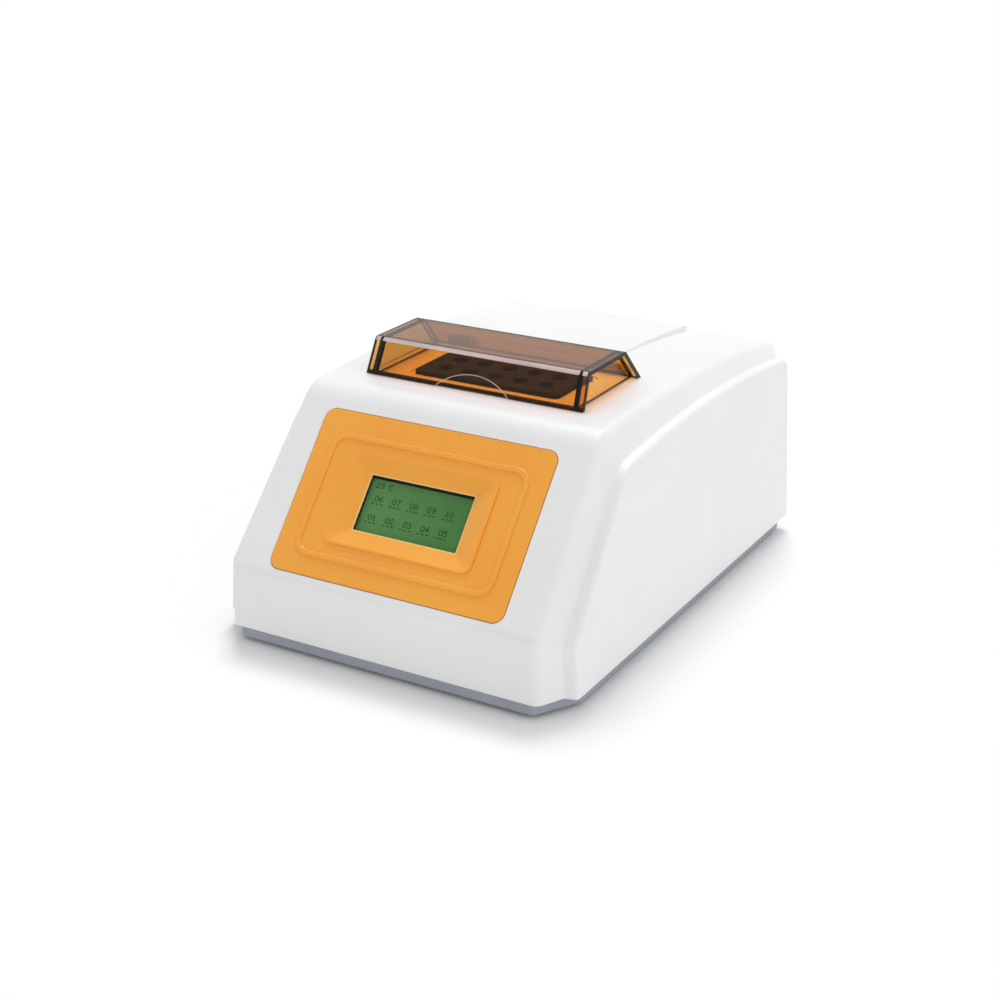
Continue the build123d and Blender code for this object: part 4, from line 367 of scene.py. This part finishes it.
# %% Rubber and cables
rubber, tree, place = start_material("black_natural_rubber")
bloom = put(tree, "TexNoise", {"Vector": place, "Scale": 1 / (6 * MM), "Detail": 5.0})
look = {"Base Color": two_tone(tree, bloom, "#1A1A1B", "#2A2A2B"), "Roughness": 0.8, "IOR": 1.52}
look["Normal"] = put(tree, "Bump", {"Height": bloom, "Strength": 0.3, "Distance": 0.05 * MM})
put(tree, "OutputMaterial", {"Surface": put(tree, "BsdfPrincipled", look)})

CORE_PITCH = 1.27 * MM
cable_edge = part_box("display_cable")[0].x
flat_cable, tree, place = start_material("grey_flat_vinyl_cable")
across = put(tree, "SeparateXYZ", {"Vector": place}).outputs["X"]
groove = put(tree, "Math", {0: across, 1: CORE_PITCH / 2}, operation="PINGPONG")
first_core = put(tree, "Math", {0: across, 1: cable_edge + CORE_PITCH}, operation="LESS_THAN")
cores = {0: first_core, 6: linear("#9A9DA1"), 7: linear("#A8302A")}
look = {"Base Color": put(tree, "Mix", cores, data_type="RGBA").outputs[2], "Roughness": 0.45}
look["Normal"] = put(tree, "Bump", {"Height": groove, "Strength": 0.8, "Distance": 1.0})
put(tree, "OutputMaterial", {"Surface": put(tree, "BsdfPrincipled", look | {"IOR": 1.53})})

lead_vinyl = moulded_plastic("grey_vinyl_lead", "#6F7276", "#808387", roughness=0.4, ior=1.53)
print("flat cable starts at x", round(cable_edge / MM, 1), "mm")

# %% [markdown]
# Circuit boards are glass-fibre laminate under green solder mask, a glossy lacquer. Copper tracks run in
# straight lines beneath it and show as a lighter green, drawn here with a brick pattern of long rows.

# %% Circuit boards
board, tree, place = start_material("green_solder_mask_laminate")
tracks = {"Vector": place, "Scale": 1 / (5 * MM), "Mortar Size": 0.06, "Row Height": 0.35}
tracks |= {"Color1": linear("#1C5A33"), "Color2": linear("#1F6038"), "Mortar": linear("#3B8A54")}
tracks = put(tree, "TexBrick", tracks)
relief = put(tree, "Bump", {"Height": tracks.outputs["Fac"], "Strength": 0.4, "Distance": 0.04 * MM})
look = {"Base Color": tracks, "Roughness": 0.28, "IOR": 1.55, "Normal": relief}
put(tree, "OutputMaterial", {"Surface": put(tree, "BsdfPrincipled", look)})
print("board tracks ready")

# %% [markdown]
# Some bought parts are one solid in the model but two materials in the hand. A stepper motor is a stack
# of black sheets between cast aluminium caps, a fuse is glass between nickel caps, and a data socket is
# a nickel shell around a black insert. A mask from the coordinates tells the two apart.


# %% Parts of two materials
def capped(name, node, axis, cap_share, middle_hexes, cap_hex, roughness):
    """A part whose two ends along an axis are metal caps; cap_share is where they begin, 0 to 1."""
    low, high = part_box(node)
    half = (high[axis] - low[axis]) / 2
    material, tree, place = start_material(name)
    along = put(tree, "SeparateXYZ", {"Vector": place}).outputs[axis]
    layers = put(tree, "TexNoise", {"Vector": place, "Scale": 1 / (2 * MM), "Detail": 3.0})
    middle = {0: along, 1: low[axis] + half, 2: half * cap_share}
    middle = put(tree, "Math", middle, operation="COMPARE")
    colour = {0: middle, 6: linear(cap_hex), 7: two_tone(tree, layers, *middle_hexes)}
    look = {"Base Color": put(tree, "Mix", colour, data_type="RGBA").outputs[2], "Roughness": roughness}
    look["Metallic"] = put(tree, "Math", {0: 1.0, 1: middle}, operation="SUBTRACT")
    put(tree, "OutputMaterial", {"Surface": put(tree, "BsdfPrincipled", look)})
    return material


sheets, caps = ("#151516", "#202022"), "#B9BBBE"
motor_stack = capped("motor_sheets_and_cast_caps", "stepper_motor", 2, 0.6, sheets, caps, 0.4)
tube, caps = ("#DDE4E2", "#E8EEEC"), "#C6C4BE"
fuse_glass = capped("glass_fuse_with_nickel_caps", "fuse_link", 1, 0.5, tube, caps, 0.12)

INSERT_HALF = (6.9 * MM, 3.3 * MM)
SOCKET_DEPTH = 6.0 * MM
low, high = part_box("data_port")
middle = (low + high) / 2
data_shell, tree, place = start_material("nickel_shell_with_black_insert")
spot = put(tree, "SeparateXYZ", {"Vector": place}).outputs
across = put(tree, "Math", {0: spot["X"], 1: middle.x, 2: INSERT_HALF[0]}, operation="COMPARE")
up = put(tree, "Math", {0: spot["Z"], 1: middle.z, 2: INSERT_HALF[1]}, operation="COMPARE")
outer = put(tree, "Math", {0: spot["Y"], 1: high.y - SOCKET_DEPTH}, operation="GREATER_THAN")
insert = put(tree, "Math", {0: across, 1: up}, operation="MULTIPLY")
insert = put(tree, "Math", {0: insert, 1: outer}, operation="MULTIPLY")
scuffs = put(tree, "TexNoise", {"Vector": place, "Scale": 1 / (3 * MM), "Detail": 4.0})
colour = {0: insert, 6: two_tone(tree, scuffs, "#B2AEA6", "#C9C5BD"), 7: linear("#19191A")}
look = {"Base Color": put(tree, "Mix", colour, data_type="RGBA").outputs[2], "Roughness": 0.28}
look["Metallic"] = put(tree, "Math", {0: 1.0, 1: insert}, operation="SUBTRACT")
put(tree, "OutputMaterial", {"Surface": put(tree, "BsdfPrincipled", look)})
print("two-material parts ready")

# %% [markdown]
# Every node of the imported model now gets its finish. One table names the finish and the nodes that have
# it, so no surface is forgotten, and the count is printed.

# %% Finish of each node
finishes = [
    (white_abs, "top_cover"),
    (blue_grey_abs, "base_pan"),
    (orange_abs, "front_panel"),
    (amber, "lid"),
    (black_plate, "sample_plate"),
    (pane, "display_window"),
    (cell, "display_glass"),
    (milky, "display_backlight"),
    (nickel_sheet, "display_bezel"),
    (white_nylon, "hinge_brackets"),
    (natural_nylon, "display_spacers board_spacers"),
    (rubber, "feet rack_mat"),
    (black_acetal, "tube_rack carriage led_bars sensor_bar home_sensor"),
    (black_nylon, "power_inlet fuse_drawer switch_housing switch_rocker display_plug board_parts"),
    (ground_steel, "guide_rods hinge_pins motor_shaft"),
    (screw_steel, "lead_screw"),
    (milled_aluminium, "rack_head rack_base rack_columns motor_coupling"),
    (sintered_bronze, "carriage_bushings lead_nut screw_bearing"),
    (spangled_steel, "rear_plate supply_case motor_bracket"),
    (motor_stack, "stepper_motor"),
    (board, "main_board display_board supply_board"),
    (flat_cable, "display_cable"),
    (lead_vinyl, "inner_leads"),
    (tinned_brass, "inlet_blades"),
    (fuse_glass, "fuse_link"),
    (data_shell, "data_port"),
    (zinc_screw, "foot_screws cover_screws panel_screws display_screws bracket_screws rack_screws"),
    (zinc_screw, "head_screws motor_screws plate_screws board_screws supply_screws port_nuts"),
]
finished = set()
for material, names in finishes:
    for name in names.split():
        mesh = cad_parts[name].data
        mesh.materials.clear()
        mesh.materials.append(material)
        finished.add(name)
print("finished", len(finished), "of", len(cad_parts), "nodes")

# %% [markdown]
# The display is a dot matrix: each figure is five dots wide and seven high, on a pitch of 0.517 mm. It
# shows the ten tube places in two rows, three dashes under each for a reading to come, and the room
# temperature. The dots are real small tiles on the cell, so they also show from close by.

# %% Dot figures
FIGURES = {
    "0": "01110 10001 10001 10001 10001 10001 01110",
    "1": "00100 01100 00100 00100 00100 00100 01110",
    "2": "01110 10001 00001 00110 01000 10000 11111",
    "3": "01110 10001 00001 00110 00001 10001 01110",
    "4": "00010 00110 01010 10010 11111 00010 00010",
    "5": "11111 10000 11110 00001 00001 10001 01110",
    "6": "00110 01000 10000 11110 10001 10001 01110",
    "7": "11111 00001 00010 00100 00100 00100 00100",
    "8": "01110 10001 10001 01110 10001 10001 01110",
    "9": "01110 10001 10001 01111 00001 00010 01100",
    "C": "01110 10001 10000 10000 10000 10001 01110",
    "-": "11110 00000 00000 00000 00000 00000 00000",
    " ": "00000 00000 00000 00000 00000 00000 00000",
}
DOT_PITCH, DOT_SIDE, DOT_HEIGHT = 0.517 * MM, 0.5 * MM, 0.02 * MM
ADVANCE = 6 * DOT_PITCH
GROUP_PITCH = 24 * DOT_PITCH
DASH_DROP = 9.5 * DOT_PITCH


def text_dots(text, centre_x, top_s):
    """Centres of the dots of a line of figures, as distances across and up the display."""
    left = centre_x - (len(text) * ADVANCE - DOT_PITCH) / 2
    for order, figure in enumerate(text):
        for row, bits in enumerate(FIGURES[figure].split()):
            for column, bit in enumerate(bits):
                if bit == "1":
                    x = left + order * ADVANCE + (column + 0.5) * DOT_PITCH
                    yield x, top_s - (row + 0.5) * DOT_PITCH


WARMTH_X, WARMTH_TOP = -27.1 * MM, 15.0 * MM
UPPER_TOP, LOWER_TOP = 6.6 * MM, -5.4 * MM
ROWS_X = 3.2 * MM
dots = list(text_dots("23 C", WARMTH_X, WARMTH_TOP))
for top_s, first in ((UPPER_TOP, 6), (LOWER_TOP, 1)):
    for i in range(5):
        centre = (i - 2) * GROUP_PITCH - ROWS_X
        dots += text_dots(f"{first + i:02d}", centre, top_s)
        dots += text_dots("---", centre, top_s - DASH_DROP)
print("dots on the display:", len(dots))

# %% [markdown]
# All dots go into one mesh. Each is a thin tile: a unit cube that one matrix makes flat, turns onto the
# 49.5 degree slope and moves to its place on the cell's face.

# %% Dot mesh
CELL_HALF = 1.4 * MM
out_of_slope = Vector((0, -math.sin(SLOPE), math.cos(SLOPE)))
tile_middle = (cell_low + cell_high) / 2 + out_of_slope * (CELL_HALF + DOT_HEIGHT / 2)
flat_tile = Matrix.Rotation(SLOPE, 4, "X") @ Matrix.Diagonal((DOT_SIDE, DOT_SIDE, DOT_HEIGHT, 1))


def add_piece(name, shape, material, body):
    """Makes an object of a bmesh, gives it its finish and says what it rides on."""
    mesh = bpy.data.meshes.new(name)
    shape.to_mesh(mesh)
    shape.free()
    mesh.materials.append(material)
    piece = bpy.data.objects.new(name, mesh)
    bpy.context.scene.collection.objects.link(piece)
    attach(piece, body)
    print(name, "has", len(mesh.polygons), "faces")


shape = bmesh.new()
for x, s in dots:
    move = Matrix.Translation(tile_middle + Vector((x, 0, 0)) + up_slope * s)
    bmesh.ops.create_cube(shape, size=1, matrix=move @ flat_tile)
add_piece("display_dots", shape, dot_ink, "root")

# %% [markdown]
# The lid's front wall has a shallow finger grip, milled as a slice of a circle. A cutter leaves the rim
# of such a recess frosted, and that rim also catches light as one thin pale arc: the pale strip is partly
# that frosted edge and partly a painted highlight. It is made as a strip that follows the circle on the
# leaning wall, a hair proud of it, so that it reads from every side.

# %% Grip arc on the lid
FRONT_FOOT = Vector((0, -65.7 * MM, 147.8 * MM))
FRONT_TOP = Vector((0, -56.0 * MM, 169.5 * MM))
GRIP_CHORD, GRIP_RISE = 52.0 * MM, 10.5 * MM
ARC_WIDTH, ARC_HEIGHT = 0.45 * MM, 0.05 * MM
ARC_STEPS = 64
up_wall = (FRONT_TOP - FRONT_FOOT).normalized()
out_of_wall = Vector((0, -up_wall.z, up_wall.y))
grip_radius = (GRIP_CHORD**2 / 4 + GRIP_RISE**2) / (2 * GRIP_RISE)
half_arc = math.asin(GRIP_CHORD / 2 / grip_radius)
shape = bmesh.new()
sections = []
for i in range(ARC_STEPS + 1):
    turn = half_arc * (2 * i / ARC_STEPS - 1)
    section = []
    for radius, out in ((0, 0), (ARC_WIDTH, 0), (ARC_WIDTH, ARC_HEIGHT), (0, ARC_HEIGHT)):
        reach = grip_radius - radius
        s = GRIP_RISE - grip_radius + reach * math.cos(turn)
        across = Vector((reach * math.sin(turn), 0, 0))
        point = FRONT_FOOT + across + up_wall * max(s, 0.0) + out_of_wall * out
        section.append(shape.verts.new(point))
    sections.append(section)
for first, second in zip(sections, sections[1:]):
    for i in range(4):
        j = (i + 1) % 4
        shape.faces.new((first[i], first[j], second[j], second[i]))
shape.faces.new(sections[0])
shape.faces.new(sections[-1][::-1])
bmesh.ops.recalc_face_normals(shape, faces=shape.faces)
# The pale strip is partly a frosted cut edge and partly a painted highlight.
frosted_edge_and_painted_highlight = moulded_plastic("frosted_cut_acrylic_and_painted_highlight", "#C9BDB0", "#D6CCC0", roughness=0.35, ior=1.49)
add_piece("grip_arc", shape, frosted_edge_and_painted_highlight, "lid_body")

# %% [markdown]
# A mains switch has a line for on and a ring for off, printed on the two halves of its rocker. The halves
# slope towards the middle, so each mark is made flat and then turned onto its half. The box of the rocker
# at rest gives the place of its pivot.

# %% Rocker marks
ROCKER_REST = math.radians(8.0)
TIP, MIDDLE, HALF_LENGTH = 5.2 * MM, 4.2 * MM, 7.4 * MM
tip_y = TIP * math.cos(ROCKER_REST) + HALF_LENGTH * math.sin(ROCKER_REST)
tip_z = HALF_LENGTH * math.cos(ROCKER_REST) - TIP * math.sin(ROCKER_REST)
rocker_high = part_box("switch_rocker")[1]
PIVOT = Vector((0, rocker_high.y - tip_y, rocker_high.z - tip_z))
LINE_SIZE = (0.7 * MM, 3.0 * MM)
RING_OUTER, RING_INNER = 1.6 * MM, 1.0 * MM
INK_HEIGHT = 0.03 * MM
RING_STEPS = 48


def half_of_rocker(side):
    """The matrix that lays a mark on the upper (1) or lower (-1) half: x across, y up, z outwards."""
    lean = math.atan2(TIP - MIDDLE, HALF_LENGTH) * side
    place = Matrix.Translation((0, (TIP + MIDDLE) / 2, side * HALF_LENGTH / 2))
    upright = Matrix(((-1, 0, 0, 0), (0, 0, 1, 0), (0, 1, 0, 0), (0, 0, 0, 1)))
    rest = Matrix.Translation(PIVOT) @ Matrix.Rotation(-ROCKER_REST, 4, "X")
    return rest @ place @ Matrix.Rotation(-lean, 4, "X") @ upright


shape = bmesh.new()
flat_line = Matrix.Diagonal((*LINE_SIZE, INK_HEIGHT, 1))
bmesh.ops.create_cube(shape, size=1, matrix=half_of_rocker(1) @ flat_line)
corners = []
for radius, height in ((RING_OUTER, 1), (RING_INNER, 1), (RING_INNER, -1), (RING_OUTER, -1)):
    turn = [2 * math.pi * i / RING_STEPS for i in range(RING_STEPS)]
    flat = [Vector((radius * math.cos(a), radius * math.sin(a), height * INK_HEIGHT / 2)) for a in turn]
    corners.append([shape.verts.new(half_of_rocker(-1) @ p) for p in flat])
for first, second in zip(corners, corners[1:] + corners[:1]):
    for i in range(RING_STEPS):
        j = (i + 1) % RING_STEPS
        shape.faces.new((first[i], first[j], second[j], second[i]))
bmesh.ops.recalc_face_normals(shape, faces=shape.faces)
add_piece("rocker_marks", shape, white_ink, "rocker_body")

# %% [markdown]
# The camera stands where the photographer stood: to the right, well above, and turned 30 degrees. Its
# place was worked out from the photograph's own lines, and its lens keeps the same perspective.

# %% Camera
SENSOR, LENS = 36.0, 63.497
STAND = (526.3 * MM, -940.8 * MM, 489.0 * MM)
DIP, TURN = 21.985, 30.03
camera_data = bpy.data.cameras.new("photo_camera")
camera_data.lens = LENS
camera_data.sensor_width = SENSOR
camera = bpy.data.objects.new("photo_camera", camera_data)
camera.location = STAND
camera.rotation_euler = (math.radians(90 - DIP), 0, math.radians(TURN))
bpy.context.scene.collection.objects.link(camera)
bpy.context.scene.camera = camera
print("camera at", tuple(round(v, 3) for v in camera.location))

# %% [markdown]
# A studio for small instruments is a white tent: light comes softly from everywhere, a little more from
# above and from a side box on the right. The world gives the tent and the side box, and one wide sun
# lamp the light from above. Together they light a level surface at about 1, so that a colour renders
# about as it is written. Camera rays, mirror rays and rays through glass see the world at strength 1,
# which is white.

# %% Light
TENT_LEVEL = 0.59
SIDE_LEVEL = 0.4
SUN_LEVEL = 1.22
SUN_WIDTH = 24
TOWARD_SUN = Vector((-0.2, 0.45, 0.87))
world = bpy.data.worlds.new("studio_tent")
bpy.context.scene.world = world
world.use_nodes = True
tree = world.node_tree
tree.nodes.clear()
ray = put(tree, "LightPath").outputs
seen = put(tree, "Math", {0: ray["Is Camera Ray"], 1: ray["Is Glossy Ray"]}, operation="MAXIMUM")
seen = put(tree, "Math", {0: seen, 1: ray["Is Transmission Ray"]}, operation="MAXIMUM")
rightward = put(tree, "SeparateXYZ", {"Vector": put(tree, "TexCoord").outputs["Generated"]})
rightward = put(tree, "Math", {0: rightward, 1: 0.0}, operation="MAXIMUM")
side_box = put(tree, "Math", {0: rightward, 1: SIDE_LEVEL, 2: TENT_LEVEL}, operation="MULTIPLY_ADD")
level = put(tree, "MapRange", {"Value": seen, "To Min": side_box, "To Max": 1.0})
tent = put(tree, "Background", {"Color": linear("#FFFFFF"), "Strength": level})
put(tree, "OutputWorld", {"Surface": tent})

sun_data = bpy.data.lights.new("soft_sun", "SUN")
sun_data.energy = SUN_LEVEL
sun_data.angle = math.radians(SUN_WIDTH)
sun = bpy.data.objects.new("soft_sun", sun_data)
sun.rotation_euler = TOWARD_SUN.to_track_quat("Z", "Y").to_euler()
bpy.context.scene.collection.objects.link(sun)
bpy.context.scene.view_settings.view_transform = "Standard"
print("tent", TENT_LEVEL, "side box", SIDE_LEVEL, "sun", SUN_LEVEL)

# %% [markdown]
# The floor is a pale sheet of card. Rays from the camera, a mirror or glass find it pure white wherever
# nothing shades it, so it meets the white world without a line and still keeps the shadow under the
# instrument. All other rays find it a little less than white, so it throws no extra light upwards.

# %% Floor
FLOOR_HALF = 6.0
CARD_TONE, SEEN_TONE = "#F6F6F6", "#FFFFFF"
card, tree, _ = start_material("white_card")
ray = put(tree, "LightPath").outputs
seen = put(tree, "Math", {0: ray["Is Camera Ray"], 1: ray["Is Glossy Ray"]}, operation="MAXIMUM")
seen = put(tree, "Math", {0: seen, 1: ray["Is Transmission Ray"]}, operation="MAXIMUM")
tone = {0: seen, 6: linear(CARD_TONE), 7: linear(SEEN_TONE)}
tone = put(tree, "Mix", tone, data_type="RGBA").outputs[2]
put(tree, "OutputMaterial", {"Surface": put(tree, "BsdfDiffuse", {"Color": tone})})
shape = bmesh.new()
bmesh.ops.create_grid(shape, x_segments=1, y_segments=1, size=FLOOR_HALF)
mesh = bpy.data.meshes.new("floor")
shape.to_mesh(mesh)
shape.free()
mesh.materials.append(card)
floor = bpy.data.objects.new("floor", mesh)
bpy.context.scene.collection.objects.link(floor)
print("floor is", 2 * FLOOR_HALF, "m wide")
